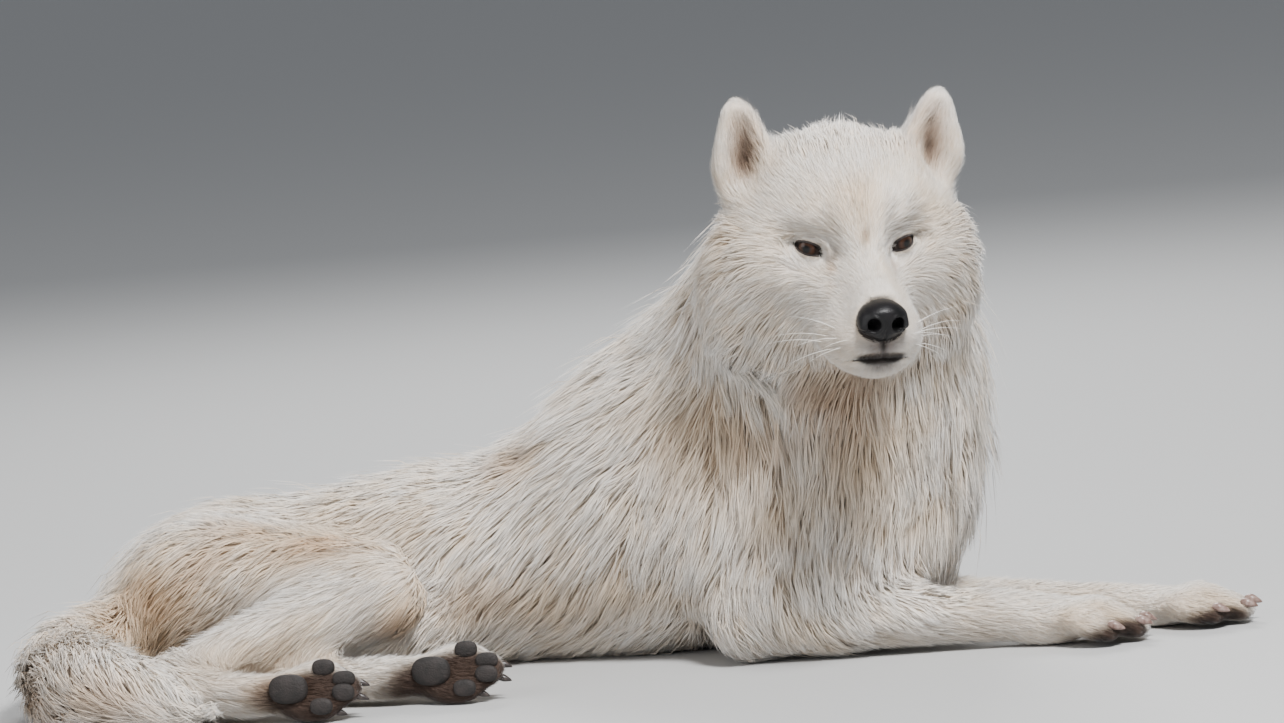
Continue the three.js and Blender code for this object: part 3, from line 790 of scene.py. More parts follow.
def strand_group():
    """Fine streaks along the lie of the hair with their relief, and a slow drift of warmth over the body."""
    tree, takes, gives = group_of("hair_strands", [
        ("Colour", "Color", (0.8, 0.8, 0.8, 1)), ("Lie", "Vector", (1, 0, 0)), ("Fineness", "Float", 900),
        ("Contrast", "Float", 0.3), ("Depth", "Float", 0.0003)])
    place = node_in(tree, "TexCoord").outputs["Object"]
    lie = takes["Lie"]
    reach = node_in(tree, "VectorMath", {0: place, 1: lie}, operation="DOT_PRODUCT").outputs["Value"]
    run = node_in(tree, "VectorMath", {0: lie, "Scale": reach}, operation="SCALE").outputs[0]
    most = node_in(tree, "VectorMath", {0: run, "Scale": 0.8}, operation="SCALE").outputs[0]
    drawn = node_in(tree, "VectorMath", {0: place, 1: most}, operation="SUBTRACT").outputs[0]
    streaks = noise(tree, takes["Fineness"], 3, Vector=drawn)
    shade = spread(tree, streaks, 0.3, 0.62, 1, 0)
    amount = node_in(tree, "Math", {0: shade, 1: takes["Contrast"]}, operation="MULTIPLY").outputs[0]
    streaked = mixed(tree, "MULTIPLY", amount, takes["Colour"], (0.50, 0.40, 0.31))
    warmth = spread(tree, noise(tree, 22, 4, Vector=place), 0.48, 0.70, 0, 0.6)
    tree.links.new(mixed(tree, "MULTIPLY", warmth, streaked, (0.94, 0.85, 0.73)), gives["Colour"])
    tree.links.new(relief(tree, streaks, 0.6, takes["Depth"]), gives["Normal"])
    return tree


def cobble_group():
    """Small close cobbles in relief, with a crown tint and a crease tint mixed by a slow noise, for bare
    leather.
    """
    tree, takes, gives = group_of("leather_cobbles", [
        ("Crown", "Color", (0.09, 0.07, 0.06, 1)), ("Crease", "Color", (0.02, 0.015, 0.012, 1)),
        ("Fineness", "Float", 620), ("Depth", "Float", 0.0005)])
    place = node_in(tree, "TexCoord").outputs["Object"]
    cobbles = node_in(tree, "TexVoronoi", {"Vector": place, "Scale": takes["Fineness"]}).outputs["Distance"]
    worn = spread(tree, noise(tree, 90, 5, Vector=place), 0.36, 0.72)
    tree.links.new(mixed(tree, "MIX", worn, takes["Crease"], takes["Crown"]), gives["Colour"])
    tree.links.new(relief(tree, cobbles, 0.6, takes["Depth"], invert=True), gives["Normal"])
    return tree


STRANDS, COBBLES = strand_group(), cobble_group()


def place_group(tree, group, **values):
    """Puts the group in a material, sets its own values, and feeds the shader's colour and normal."""
    node = node_in(tree, "Group", node_tree=group)
    for title, value in values.items():
        node.inputs[title].default_value = value
    shader = tree.nodes["Principled BSDF"]
    tree.links.new(node.outputs["Colour"], shader.inputs["Base Color"])
    tree.links.new(node.outputs["Normal"], shader.inputs["Normal"])
    return node


def coat_material(name, roughness, **values):
    """Hair, coloured by its place on the body and streaked along its own lie."""
    material, tree, _ = new_material(name, roughness, Specular_IOR_Level=0.3, Sheen_Weight=0.35,
                                     Sheen_Roughness=0.4)
    strands = place_group(tree, STRANDS, **values)
    for attribute, output, socket in (("coat_colour", "Color", "Colour"), ("lie", "Vector", "Lie")):
        node = node_in(tree, "Attribute", attribute_name=attribute)
        tree.links.new(node.outputs[output], strands.inputs[socket])
    return material


def set_lie(mesh, along):
    """The way the hair points, for the streaks to follow."""
    layer = mesh.attributes.new("lie", "FLOAT_VECTOR", "POINT")
    layer.data.foreach_set("vector", along.astype(np.float32).ravel())


# ---- coat --------------------------------------------------------------------------------------------
TUFT_KINDS = ((8, "hair"), (30, "tuft"), (999, "long tuft"))  # each up to its longest length
ROUNDNESS = 0.5  # how far a tuft is shaded as a thread of its own rather than as part of the coat
UV_PATCH = 0.003
STRAY_SHARE, STRAY_LENGTH = 0.09, 1.3  # flyaway hairs, and how much longer they are
RISE = (-0.06, 0.62, 0.94, 1.0)  # how high the four points of a tuft stand, as shares of its lift
HANG = 0.12  # how far free tufts turn down at each step
LOCK_BEND = 0.10
LOWEST_HAIR = 0.4  # over the floor
ROOT_TINT_AND_SHADE = (0.80, 0.69, 0.57)  # the hair at its root against its colour at the tip: a warmer undercoat and painted shade down among the hairs
COAT_THICKNESS = 0.66
CLOSENESS = ((8, 1.5), (20, 0.6), (30, 0.75), (999, 0.82))  # up to a length; a tuft has three tips
TUFT_GAP = 1.45  # tuft widths from one root to the next in a coat of thickness 1
COAT_GROUPS = {
    "coat_muzzle": ("bridge", "chin", "lip"),
    "coat_face": ("forehead", "under_eye", "brow"),
    "coat_cheeks": ("temple", "cheek_right", "cheek_left"),
    "coat_crown": ("crown", "crest", "ear", "throat"),
    "coat_nape": ("nape", "cheek_ruff", "cheek_lobe"),
    "coat_ruff": ("ruff_breast", "ruff_left"),
    "coat_shoulders": ("withers", "shoulder", "arm"),
    "coat_back": ("back",),
    "coat_flanks": ("flank",),
    "coat_rump": ("rump", "thigh"),
    "coat_tail": ("tail",),
    "coat_forearms": ("forearm",),
    "coat_forepaws": ("forepaw", "foretoes"),
    "coat_hindlegs": ("shank", "hock", "hindpaw"),
}


def tree_of(points):
    tree = kdtree.KDTree(len(points))
    for i, p in enumerate(points):
        tree.insert(p, i)
    tree.balance()
    return tree


def nearest_in(tree, points):
    return np.fromiter((tree.find(p)[1] for p in points), np.int64, len(points))


class SkinMap:
    """The skin's vertices with the coat's traits and lie at each, and a tree to find the nearest."""

    def __init__(self, obj):
        mesh = obj.data
        self.points = points_of(mesh)
        self.normals = normals_of(mesh)
        edges = edges_of(mesh)
        self.traits, flow = coat_at(self.points)
        self.calm = unit(smoothed(self.normals, edges, 12))
        along = unit(smoothed(flow, edges, 4))
        for _ in range(3):
            along = along - (along * self.calm).sum(1)[:, None] * self.calm
            along = smoothed(along, edges, 8)
        self.along = unit(along)
        self.tree = tree_of(self.points)
        mesh.calc_loop_triangles()
        self.triangles = read(mesh.loop_triangles, "vertices", 3, np.int32)

    def nearest(self, points):
        return nearest_in(self.tree, points)


def unwrapped_place(obj, points):
    """Where points lie on the unwrap of the nearest part of obj."""
    mesh = obj.data
    place = np.zeros((len(mesh.vertices), 2))
    place[corners_of(mesh)] = read(mesh.uv_layers["OFBake"].data, "uv", 2)
    return place[nearest_in(tree_of(points_of(mesh)), points)]


def owner_of(points):
    """Which stretch each point belongs to."""
    best = np.full(len(points), np.inf)
    owner = np.zeros(len(points), int)
    for i, part in enumerate(STRETCHES):
        gap = gap_to(part, points)
        closer = gap < best
        best[closer], owner[closer] = gap[closer], i
    return owner


def sow(chart, rng):
    """Roots spread over the skin, closer where the tufts are finer."""
    corners = chart.points[chart.triangles]
    sides = corners[:, 1] - corners[:, 0], corners[:, 2] - corners[:, 0]
    area = 0.5 * np.linalg.norm(np.cross(*sides), axis=1)
    width, density, length = (chart.traits[trait] for trait in ("width", "density", "length"))
    rate = COAT_THICKNESS * density / (TUFT_GAP * width) ** 2
    rate *= np.select([length < longest for longest, _ in CLOSENESS], [share for _, share in CLOSENESS])
    rate *= furred(chart.points, chart.normals)
    total = np.cumsum(area * rate[chart.triangles].mean(1))
    count = int(total[-1])
    at = (np.arange(count) + rng.random(count)) * total[-1] / count
    tri = np.minimum(np.searchsorted(total, at), len(area) - 1)
    u, v = rng.random(count), rng.random(count)
    over = u + v > 1
    u[over], v[over] = 1 - u[over], 1 - v[over]
    share = np.stack([1 - u - v, u, v], 1)
    corner = chart.triangles[tri]

    def blend(values):
        return (values[corner] * share.reshape(share.shape + (1,) * (values.ndim - 1))).sum(1)

    roots = dict(point=blend(chart.points), normal=unit(blend(chart.calm)), along=unit(blend(chart.along)))
    roots["uv"] = unwrapped_place(skin, roots["point"])
    for trait in TRAITS:
        roots[trait] = blend(chart.traits[trait])
    return roots


def furred(points, normals):
    """1 where fur grows, 0 on the eyes, the nose leather, the lips' edge and the pads."""
    f = fold(to_head(points))
    from_nose = nose_gap(f)
    bare = np.maximum(ramp(2.2 - eye_place(f)[2], 0, 1), ramp(2 - from_nose, 0, 1))
    from_mouth, share = to_path(f, MOUTH)
    bare = np.maximum(bare, ramp(3.4 - 3.0 * share - from_mouth, 0, 1))
    low = ramp(6 - points[:, 2], 0, 4) * ramp(-normals[:, 2], 0.3, 0.8)
    return (1 - bare) * (1 - 0.7 * low) * off_pads(points)


def drift(points, wavelength, seed):
    """A slow wander from -1 to 1 over the body."""
    rng = np.random.default_rng(seed)
    total = np.zeros(len(points))
    for _ in range(6):
        way = unit(rng.normal(0, 1, 3))
        wave = wavelength * rng.uniform(0.7, 1.4)
        total += np.sin(points @ way * 2 * math.pi / wave + rng.uniform(0, 6.3))
    return total / 3.5


def grow_locks(chart, rng):
    """The middle line of every tuft: it rises out of the skin and lies back along the coat."""
    roots = sow(chart, rng)
    n = len(roots["point"])
    length = roots["length"] * rng.uniform(0.75, 1.2, n)
    layer = rng.beta(2.2, 1.2, n) * 1.02
    stray = rng.random(n) < STRAY_SHARE
    layer[stray] *= 1 + 0.45 * ramp(length[stray], 12, 40)
    length[stray] *= STRAY_LENGTH
    loose = ramp(length, 8, 40)
    swirl = 0.20 * drift(roots["point"], 70, 5) + 0.12 * drift(roots["point"], 26, 6)
    turn = rng.normal(0, 0.15, n) + loose * swirl
    side = np.cross(roots["normal"], roots["along"])
    heading = unit(roots["along"] * np.cos(turn)[:, None] + side * np.sin(turn)[:, None])
    line, ups = np.empty((n, 4, 3)), np.empty((n, 4, 3))
    ups[:, 0] = roots["normal"]
    spot, normal = roots["point"], roots["normal"]
    lift = roots["depth"] * layer * (1 + 0.22 * loose * drift(roots["point"], 17, 7))
    line[:, 0] = spot - normal * np.minimum(1.0, 0.1 * lift)[:, None]
    base = spot.copy()
    for k in (1, 2, 3):
        base = base + heading * (length / 3)[:, None]
        index = chart.nearest(base)
        gap = base - chart.points[index]
        up = chart.calm[index]
        off = (gap * up).sum(1)
        base = base - up * (off * np.where(off > 0, 1 - roots["free"], 1))[:, None]
        flare = 1 + (0.6 * roots["free"] * rng.random(n) if k == 3 else 0)
        line[:, k], ups[:, k] = base + up * (lift * RISE[k] * flare + 0.25)[:, None], up
        bound = (1 - 0.8 * roots["free"])[:, None]
        down = HANG * roots["free"][:, None] * np.array((0, 0, 1))
        heading = unit(heading - up * (heading * up).sum(1)[:, None] * bound
                       + 0.5 * bound * chart.along[index] - down)
    wave = rng.normal(0, 0.035, (n, 3, 1)) * length[:, None, None]
    bend = (LOCK_BEND * loose * length * drift(roots["point"], 34, 9))[:, None, None]
    line[:, 1:] += (wave + bend * np.array((1, -1, 0.6))[:, None]) * side[:, None, :]
    roots.update(line=line, ups=ups, layer=layer, stray=stray)
    gather(roots, 8 + 0.28 * roots["length"], 0.6 * loose, rng)
    gather(roots, 2.2 + 0.13 * roots["length"], 1.0, rng)
    return roots


def gather(roots, spacing, strength, rng):
    """Draws the tips of neighbouring tufts together into locks."""
    point = roots["point"]
    chosen = np.flatnonzero(rng.random(len(point)) < 1.6 * (roots["width"] * TUFT_GAP / spacing) ** 2
                            / np.maximum(roots["density"], 0.3))
    centre = chosen[nearest_in(tree_of(point[chosen]), point)]
    pull = strength * roots["clump"] * rng.uniform(0.6, 1.15, len(point))
    pull[roots["stray"]] *= 0.3
    line, goal = roots["line"], roots["line"][centre]
    for k, share in ((1, 0.3), (2, 0.7), (3, 0.95)):
        w = np.clip(pull * share, 0, 0.97)[:, None]
        line[:, k] = line[:, k] * (1 - w) + goal[:, k] * w
    roots["centre"] = centre


def tuft_faces(kind):
    """A hair is one spike; a tuft splits at its root into three, and a long tuft at its middle."""
    faces = [(2, 1, 0)]
    if kind == "hair":
        return np.array(faces + [(0, 1, 3), (1, 2, 3), (2, 0, 3)]), 4
    ring = 0
    if kind == "long tuft":
        for i in range(3):
            j = (i + 1) % 3
            faces += [(i, j, j + 3), (i, j + 3, i + 3)]
        ring = 3
    centre, tip = ring + 3, ring + 4
    for i in range(3):
        a, b = ring + i, ring + (i + 1) % 3
        faces += [(a, b, tip + i), (b, centre, tip + i), (centre, a, tip + i)]
    return np.array(faces), tip + 3


def tuft_mesh(roots, picked, kind, rng):
    """Closed tufts of one kind along the picked middle lines: points, faces, place along, root, normals."""
    line, ups = roots["line"][picked], roots["ups"][picked]
    n = len(line)
    faces, count = tuft_faces(kind)
    radius = 0.5 * roots["width"][picked] * rng.uniform(0.7, 1.2, n) * (1.3 - 0.6 * roots["layer"][picked])
    radius *= {"hair": 0.8, "tuft": 0.8, "long tuft": 0.72}[kind]
    radius[roots["stray"][picked]] *= 0.6
    roll = rng.uniform(0, 2 * math.pi, n)
    points, facing = np.empty((n, count, 3)), np.empty((n, count, 3))
    along = np.zeros(count)

    def frame_at(ahead, up):
        ahead = unit(ahead)
        across = unit(np.cross(ahead, up + 1e-6))
        return across, np.cross(ahead, across)

    def spoke(axes, turn):
        return np.cos(roll + turn)[:, None] * axes[0] + np.sin(roll + turn)[:, None] * axes[1]

    def ring(first, place, axes, up, girth, share):
        for i in range(3):
            out = spoke(axes, i * 2 * math.pi / 3)
            points[:, first + i] = place + out * (radius * girth)[:, None]
            facing[:, first + i] = unit(out * ROUNDNESS + up * (1 - ROUNDNESS))
            along[first + i] = share

    root_axes = frame_at(line[:, 1] - line[:, 0], ups[:, 0])
    ring(0, line[:, 0], root_axes, ups[:, 0], 0.8, 0)
    if kind == "hair":
        points[:, 3], facing[:, 3], along[3] = line[:, 3], ups[:, 3], 1
    else:
        centre = 3
        points[:, 3], facing[:, 3] = line[:, 0], ups[:, 0]
        if kind == "long tuft":
            middle = 0.62 * line[:, 1] + 0.38 * line[:, 2]
            ring(3, middle, frame_at(line[:, 2] - line[:, 1], ups[:, 1]), ups[:, 1], 1.15, 0.4)
            centre = 6
            points[:, 6], facing[:, 6], along[6] = middle, ups[:, 1], 0.4
        tip_axes = frame_at(line[:, 3] - line[:, 2], ups[:, 3])
        for i in range(3):
            out = spoke(tip_axes, (i + 0.5) * 2 * math.pi / 3)
            spread = radius * rng.uniform(1.2, 3.6, n)
            back = rng.uniform(0, 0.9, n)[:, None] * (line[:, 3] - line[:, 2])
            points[:, centre + 1 + i] = line[:, 3] - back + out * spread[:, None]
            facing[:, centre + 1 + i] = unit(out * 0.3 + ups[:, 3])
            along[centre + 1 + i] = 1
    points[..., 2] = np.maximum(points[..., 2], LOWEST_HAIR)
    every = (np.arange(n)[:, None, None] * count + faces).reshape(-1, 3)
    return points.reshape(-1, 3), every, np.tile(along, n), np.repeat(picked, count), facing.reshape(-1, 3)


def build_coat(chart):
    """Grows the tufts and makes one mesh of each group of stretches."""
    rng = np.random.default_rng(SEED)
    roots = grow_locks(chart, rng)
    owner = owner_of(roots["point"])
    names = [part["name"] for part in STRETCHES]
    n = len(roots["point"])
    tone = rng.normal(1, 0.06, n) * rng.normal(1, 0.05, n)[roots["centre"]]
    outer = roots["line"][:, 2]
    colour = warmed_and_shaded(coat_colour(outer), outer)
    # the roots: a warmer undercoat and painted shade deep in the coat
    base = warmed_and_shaded(coat_colour(roots["point"]), roots["point"]) * np.array(ROOT_TINT_AND_SHADE)
    fur = coat_material("fur", 0.62, Fineness=700, Contrast=0.22, Depth=0.0002)
    lie = unit(roots["line"][:, 3] - roots["line"][:, 1])
    for piece, parts in COAT_GROUPS.items():
        belongs = np.array([any(name.startswith(p) for p in parts) for name in names])
        mine = belongs[owner]
        previous, batches = 0, []
        for limit, kind in TUFT_KINDS:
            fits = mine & (roots["length"] >= previous) & (roots["length"] < limit)
            previous = limit
            if fits.any():
                batches.append(tuft_mesh(roots, np.flatnonzero(fits), kind, rng))
        starts = np.cumsum([0] + [len(b[0]) for b in batches])
        faces = np.concatenate([b[1] + start for b, start in zip(batches, starts)])
        verts, along, root, facing = (np.concatenate([b[i] for b in batches]) for i in (0, 2, 3, 4))
        mesh = bpy.data.meshes.new(piece)
        mesh.vertices.add(len(verts))
        mesh.vertices.foreach_set("co", (verts * MM).astype(np.float32).ravel())
        mesh.loops.add(faces.size)
        mesh.loops.foreach_set("vertex_index", faces.astype(np.int32).ravel())
        mesh.polygons.add(len(faces))
        mesh.polygons.foreach_set("loop_start", np.arange(0, faces.size, 3, dtype=np.int32))
        shade_smooth(mesh)
        mesh.update(calc_edges=True)
        mesh.normals_split_custom_set_from_vertices(facing)
        shade = base[root] + (colour[root] - base[root]) * ramp(along, 0.1, 0.9)[:, None]
        set_colour(mesh, np.clip(shade * tone[root][:, None], 0, 0.95))
        set_lie(mesh, lie[root])
        angle = np.arange(len(verts)) * 2.4
        spot = roots["uv"][root] + UV_PATCH / 2 * np.stack([np.cos(angle), np.sin(angle)], 1)
        bake = mesh.uv_layers.new(name="OFBake")
        bake.data.foreach_set("uv", spot[faces.ravel()].astype(np.float32).ravel())
        mesh.materials.append(fur)
        obj = in_scene(piece, mesh)
        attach(obj, "root")


THINNING_LEVELS, FACES_KEPT = 5, 0.44
UNWRAP_ANGLE, UNWRAP_MARGIN = math.radians(66), 0.002


def thin_under_coat(obj, chart):
    """Fewer faces where the coat is deep."""
    group = obj.vertex_groups.new(name="deep_coat")
    deep = ramp(chart.traits["depth"], 7, 10)
    for level in range(1, THINNING_LEVELS + 1):
        chosen = np.flatnonzero(np.round(deep * THINNING_LEVELS) == level)
        group.add([int(i) for i in chosen], level / THINNING_LEVELS, "REPLACE")
    finish_with(obj, "DECIMATE", ratio=FACES_KEPT, vertex_group="deep_coat")
    obj.vertex_groups.clear()


def unwrap(obj, name):
    """Lays the skin's faces out flat in a UV map of this name."""
    pick(obj)
    layer = obj.data.uv_layers.new(name=name)
    obj.data.uv_layers.active = layer
    bpy.ops.object.mode_set(mode="EDIT")
    bpy.ops.mesh.select_all(action="SELECT")
    bpy.ops.uv.smart_project(angle_limit=UNWRAP_ANGLE, island_margin=UNWRAP_MARGIN)
    bpy.ops.object.mode_set(mode="OBJECT")


# ---- eyes and nose -----------------------------------------------------------------------------------
def tints_along(tree, value, stops):
    """Colours laid along a value from 0 to 1."""
    node = node_in(tree, "ValToRGB", {"Fac": value})
    elements = node.color_ramp.elements
    while len(elements) < len(stops):
        elements.new(1.0)
    for element, (place, colour) in zip(elements, stops):
        element.position = place
        element.color = (*colour, 1)
    return node.outputs["Color"]


def eye_material():
    """A dark brown iris round a black pupil, read from how far a point lies off the eye's axis."""
    material, tree, shader = new_material("eye", 0.35, Specular_IOR_Level=0.15, Coat_Weight=0.3,
                                          Coat_Roughness=0.03)
    reach = node_in(tree, "Attribute", attribute_name="off_axis").outputs["Fac"]
    flecks = noise(tree, 36000, 3, Vector=node_in(tree, "TexCoord").outputs["Object"])
    shift = node_in(tree, "Math", {0: flecks, 1: 0.05, 2: reach}, operation="MULTIPLY_ADD")
    tone = tints_along(tree, shift.outputs[0], [
        (0.0, (0.002, 0.002, 0.002)), (0.16, (0.002, 0.002, 0.002)), (0.20, (0.014, 0.006, 0.003)),
        (0.32, (0.034, 0.013, 0.006)), (0.43, (0.014, 0.006, 0.004)), (0.47, (0.004, 0.003, 0.003)),
        (0.56, (0.025, 0.018, 0.016)), (1.0, (0.03, 0.022, 0.02))])
    tree.links.new(tone, shader.inputs["Base Color"])
    return material


def model_eyes():
    material = eye_material()
    for name, s in (("right", -1), ("left", 1)):
        flip = np.array((1, s, 1))
        bpy.ops.mesh.primitive_uv_sphere_add(segments=48, ring_count=32, radius=1)
        eye = bpy.context.object
        eye.name = eye.data.name = f"eyeball_{name}"
        unit_points = points_of(eye.data) * MM
        axis = EYE_AXIS * flip
        off = np.arccos(np.clip(unit_points[:, 2], -1, 1)) / (math.pi / 2)
        cornea = 1 + 0.05 * np.clip(1 - (off / 0.5) ** 2, 0, 1)
        turn = np.array(Vector((0, 0, 1)).rotation_difference(Vector(axis)).to_matrix())
        local = (unit_points * cornea[:, None]) @ turn.T * EYE_RADIUS + EYE_CENTRE * flip
        set_points(eye.data, from_head(local))
        layer = eye.data.attributes.new("off_axis", "FLOAT", "POINT")
        layer.data.foreach_set("value", np.clip(off, 0, 1).astype(np.float32))
        eye.data.materials.append(material)
        shade_smooth(eye.data)
        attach(eye, "root")
        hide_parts(f"eye_{name}")


LEGS = ("foreleg_right", "foreleg_left", "hindleg_right", "hindleg_left")
SOLES = ("hindleg_right", "hindleg_left")


def box_of(node):
    """The low and high corners of a CAD node."""
    return [np.array(corner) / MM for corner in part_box(node)]


PAD_PLACES = [box_of(f"pad_{leg}_{i}") for leg in SOLES for i in range(1, 6)]


def off_pads(points):
    """0 on a pad and 1 clear of all of them."""
    clear = np.ones(len(points))
    for low, high in PAD_PLACES:
        reach = np.linalg.norm((points - (low + high) / 2) / ((high - low) / 2 + 0.6), axis=1)
        clear = np.minimum(clear, ramp(reach, 0.8, 1.0))
    return clear


def horn_material(name, tints):
    """Claw horn: three tints, the quick's to the worn edge's, laid over a fine grain, with fine ridges from
    the same grain.
    """
    material, tree, shader = new_material(name, 0.34)
    grain = noise(tree, 260, 4, Vector=node_in(tree, "TexCoord").outputs["Object"])
    tone = tints_along(tree, grain, list(zip((0.3, 0.55, 0.75), tints)))
    tree.links.new(tone, shader.inputs["Base Color"])
    tree.links.new(relief(tree, grain, 0.3, 0.0004), shader.inputs["Normal"])
    return material


def leather_material(name, roughness, crown, crease, fineness, depth, **values):
    """Bare leather in fine cobbles: dry and worn on the pads, black with a wet shine on the nose."""
    material, tree, _ = new_material(name, roughness, **values)
    place_group(tree, COBBLES, Crown=(*crown, 1), Crease=(*crease, 1), Fineness=fineness, Depth=depth)
    return material


def swollen(name, parts):
    """One object of rounded forms: each is a sphere carried to its place by a function of its own."""
    pieces = []
    for shape in parts:
        bpy.ops.mesh.primitive_uv_sphere_add(segments=28, ring_count=18, radius=1)
        piece = bpy.context.object
        set_points(piece.data, shape(points_of(piece.data) * MM))
        pieces.append(piece)
    whole = joined(name, pieces)
    shade_smooth(whole.data)
    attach(whole, "root")
    return whole


def claw_shape(low, high, size):
    """A claw lying back on its toe: broad at the quick, drawn in and bent down towards the tip."""
    place = np.array((low[0] + 0.42 * size[0], (low[1] + high[1]) / 2, high[2] - 0.62 * size[2]))

    def shape(ball):
        t = (ball[:, 0] + 1) / 2
        narrow = 1 - 0.4 * ramp(t, 0.4, 1.0)
        ridge = 0.92 + 0.08 * np.abs(ball[:, 2])
        return place + np.stack([ball[:, 0] * size[0] / 2, ball[:, 1] * narrow * ridge * size[1] / 2,
                                 ball[:, 2] * narrow * size[2] / 2 - 0.26 * size[0] * t ** 2], 1)
    return shape


def pad_shape(low, high):
    """A plump, slightly squared cushion."""
    place, half = (low + high) / 2, (high - low) / 2 * (1.14, 1.0, 1.16)
    return lambda ball: place + np.sign(ball) * np.abs(ball) ** 0.8 * half * 1.04


PALE_HORN = ((0.13, 0.075, 0.06), (0.25, 0.17, 0.145), (0.34, 0.27, 0.24))
DARK_HORN = ((0.012, 0.009, 0.008), (0.03, 0.022, 0.02), (0.09, 0.07, 0.06))
FORE_CLAW, HIND_CLAW = (16, 9.6, 8.4), (14, 7.0, 6.8)  # long, wide, deep


def model_feet():
    pale_horn = horn_material("claw_horn", PALE_HORN)
    dark_horn = horn_material("dark_claw_horn", DARK_HORN)
    leather = leather_material("pad_leather", 0.75, (0.026, 0.019, 0.017), (0.008, 0.006, 0.005), 620,
                               0.0006)
    for leg in LEGS:
        size = HIND_CLAW if leg in SOLES else FORE_CLAW
        nodes = [f"claw_{leg}_{i}" for i in range(1, 5)]
        claws = swollen(f"claws_{leg}", [claw_shape(*box_of(node), size) for node in nodes])
        claws.data.materials.append(dark_horn if leg in SOLES else pale_horn)
        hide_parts(*nodes)
    for leg, boxes in zip(SOLES, (PAD_PLACES[:5], PAD_PLACES[5:])):
        pads = swollen(f"pads_{leg}", [pad_shape(*box) for box in boxes])
        pads.data.materials.append(leather)
        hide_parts(*[f"pad_{leg}_{i}" for i in range(1, 6)])


WHISKERS = [  # root, tip and sag, in the folded head frame
    ((76, 30, -48), (60, 74, -40), -6), ((82, 27, -53), (78, 72, -56), -7),
    ((72, 35, -55), (44, 84, -58), -8), ((86, 23, -58), (88, 58, -70), -6),
    ((66, 38, -62), (34, 84, -76), -8), ((78, 31, -62), (64, 72, -82), -6),
    ((90, 18, -51), (96, 52, -52), -5), ((2, 36, 26), (6, 54, 60), 4), ((6, 30, 24), (16, 36, 58), 4),
]
WHISKER_SIDES, WHISKER_RINGS = 5, 7


def model_whiskers():
    """Stiff white hairs on the lips and brows, thickest at the root."""
    bm = bmesh.new()
    sides = range(WHISKER_SIDES)
    for side in (-1, 1):
        for n, (root, tip, sag) in enumerate(WHISKERS):
            root, tip = np.array(root, float), np.array(tip, float)
            tip = tip + (0, 3 * math.sin(7 * n + side), 4 * math.cos(5 * n + side))
            flip = np.array((1, side, 1))
            ahead = unit(tip - root)
            a = unit(np.cross(ahead, (0.1, 0.2, 1)))
            b = np.cross(ahead, a)
            rings = []
            for t in np.linspace(0, 1, WHISKER_RINGS):
                middle = root + (tip - root) * t - np.array((0, 0, sag)) * 2 * t * (1 - t)
                girth = 0.30 * (1 - t) + 0.05
                turns = [k * 2 * math.pi / WHISKER_SIDES for k in sides]
                rim = [middle + girth * (math.cos(turn) * a + math.sin(turn) * b) for turn in turns]
                rings.append([bm.verts.new(Vector(place * MM)) for place in from_head(rim * flip)])
            for low, high in zip(rings, rings[1:]):
                for k in sides:
                    after = (k + 1) % WHISKER_SIDES
                    bm.faces.new((low[k], low[after], high[after], high[k]))
            bm.faces.new(rings[0][::-1])
            bm.faces.new(rings[-1])
    bmesh.ops.recalc_face_normals(bm, faces=bm.faces)
    mesh = bpy.data.meshes.new("whiskers")
    bm.to_mesh(mesh)
    bm.free()
    material, tree, _ = new_material("whisker", 0.3)
    place_group(tree, STRANDS, Colour=(0.85, 0.83, 0.78, 1), Fineness=500, Contrast=0.15, Depth=0.0001)
    mesh.materials.append(material)
    shade_smooth(mesh)
    whiskers = in_scene("whiskers", mesh)
    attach(whiskers, "root")


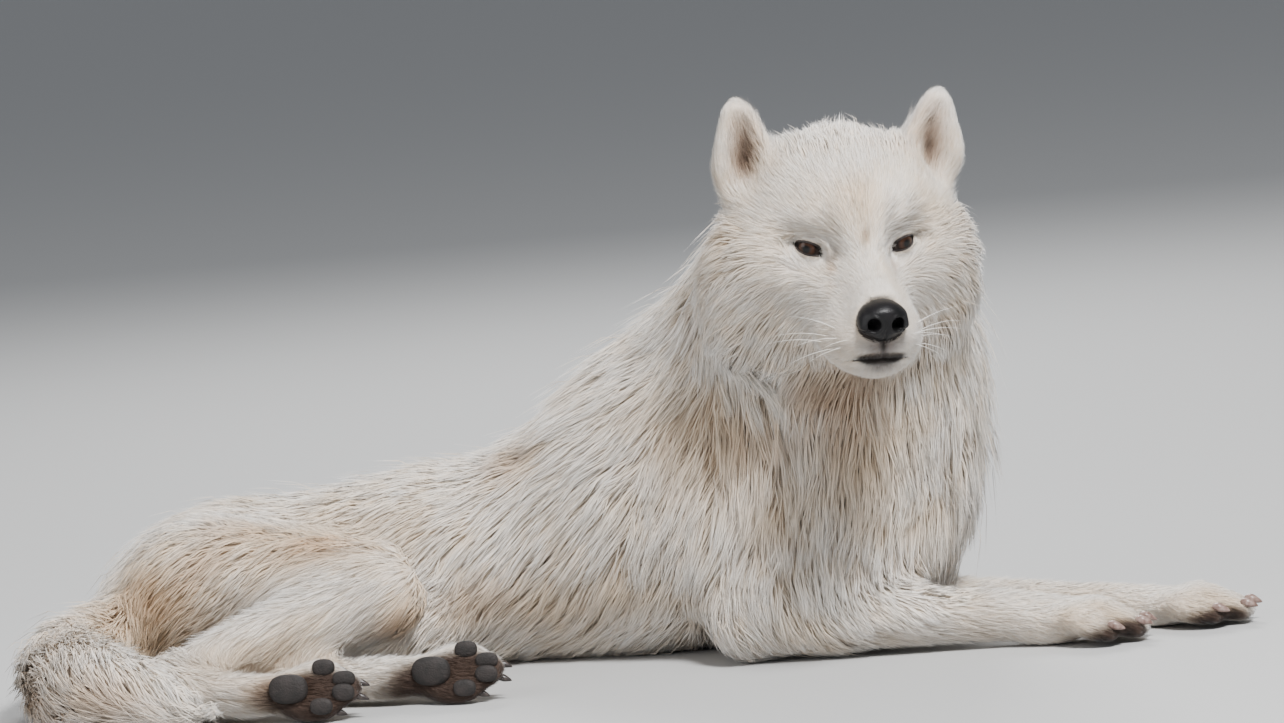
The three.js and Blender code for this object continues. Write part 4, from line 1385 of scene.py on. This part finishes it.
def model_nose():
    """The leather: a broad top, two comma nostrils with their slits, and a groove down the middle."""
    bpy.ops.mesh.primitive_ico_sphere_add(subdivisions=6, radius=1)
    nose = bpy.context.object
    nose.name = nose.data.name = "nose_leather"
    p = points_of(nose.data) * MM
    x, y, z = np.abs(p[:, 0]) ** 0.85 * np.sign(p[:, 0]), p[:, 1], np.abs(p[:, 2]) ** 0.9 * np.sign(p[:, 2])
    narrow = 1 - 0.38 * ramp(-z, 0.1, 1.0) - 0.10 * ramp(z, 0.35, 1.0)
    local = np.stack([x, y * narrow, z], 1) * NOSE_RADII
    local[:, 0] += 2.6 * ramp(z, 0.0, 0.75) * ramp(x, 0.0, 0.8) - 2.5 * ramp(-z, 0.35, 1.0) * ramp(x, 0, 0.8)
    front = ramp(x, -0.1, 0.45)
    f = fold(local)
    wing = bump(f, (7, 16.5, -3), (12, 7, 10))
    f += wing[:, None] * np.array((1.5, 2.0, 0))
    pit = np.clip(1 - ((f[:, 1] - 10) / 5.6) ** 2 - ((f[:, 2] - 1.0) / 6.4) ** 2, 0, 1)
    slit, share = to_path(f * (0, 1, 1), [(0, 11.5, -2), (0, 16.5, -6.0), (0, 22, -5.0)])
    cut = np.exp(-(slit / (1.7 - 0.7 * share)) ** 2) * (1 - 0.5 * share)
    rim = np.exp(-(((np.hypot((f[:, 1] - 10) / 5.6, (f[:, 2] - 1.0) / 6.4)) - 1.15) / 0.22) ** 2)
    groove = np.exp(-(f[:, 1] / 1.0) ** 2) * ramp(-f[:, 2], 1, 8)
    f[:, 0] += front * (-9.0 * pit ** 0.7 - 4.5 * cut + 0.9 * rim - 1.6 * groove)
    f[:, 1] *= np.where(local[:, 1] < 0, -1, 1)
    set_points(nose.data, from_head(f + NOSE_CENTRE))
    nose.data.materials.append(leather_material(
        "nose_leather", 0.42, (0.007, 0.006, 0.007), (0.003, 0.003, 0.003), 900, 0.0003,
        Specular_IOR_Level=0.22, Coat_Weight=0.06, Coat_Roughness=0.25))
    shade_smooth(nose.data)
    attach(nose, "root")
    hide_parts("nose")


model_eyes()
model_nose()
model_feet()
model_whiskers()

chart = SkinMap(skin)
thin_under_coat(skin, chart)
unwrap(skin, "OFBake")
set_colour(skin.data, skin_colour(points_of(skin.data)))
set_lie(skin.data, chart.along[nearest_in(chart.tree, points_of(skin.data))])
skin.data.materials.append(coat_material("skin", 0.7, Fineness=800, Contrast=0.45, Depth=0.0006))
shade_smooth(skin.data)
build_coat(chart)

# ---- floor and light ---------------------------------------------------------------------------------
FLOOR_SIZE, FLOOR_GREY = 400, (0.46, 0.46, 0.455, 1)
SKY, SKY_STRENGTH = (0.62, 0.65, 0.70, 1), 0.5
LIGHTS = [  # name, place, aim, size and power
    ("key", (1.5, -2.4, 3.3), (0, -0.1, 0.2), 0.8, 370),
    ("fill", (-2.8, -2.6, 1.6), (-0.2, 0, 0.1), 2.4, 62),
    ("rim", (-0.6, 2.8, 2.6), (0, 0, 0.25), 1.4, 110),
]


def make_stage():
    bpy.ops.mesh.primitive_plane_add(size=FLOOR_SIZE, location=(0, 0, 0))
    floor = bpy.context.object
    floor.name = floor.data.name = "floor"
    floor.data.materials.append(new_material("floor", 0.85, Base_Color=FLOOR_GREY)[0])


def add_light(name, place, aim, size, power):
    data = bpy.data.lights.new(name, "AREA")
    data.size = size
    data.energy = power
    light = in_scene(name, data)
    light.location = place
    light.rotation_euler = (Vector(aim) - Vector(place)).to_track_quat("-Z", "Y").to_euler()


def light_stage():
    world = bpy.data.worlds.new("studio")
    world.use_nodes = True
    sky = world.node_tree.nodes["Background"].inputs
    sky["Color"].default_value, sky["Strength"].default_value = SKY, SKY_STRENGTH
    bpy.context.scene.world = world
    for light in LIGHTS:
        add_light(*light)


make_stage()
light_stage()
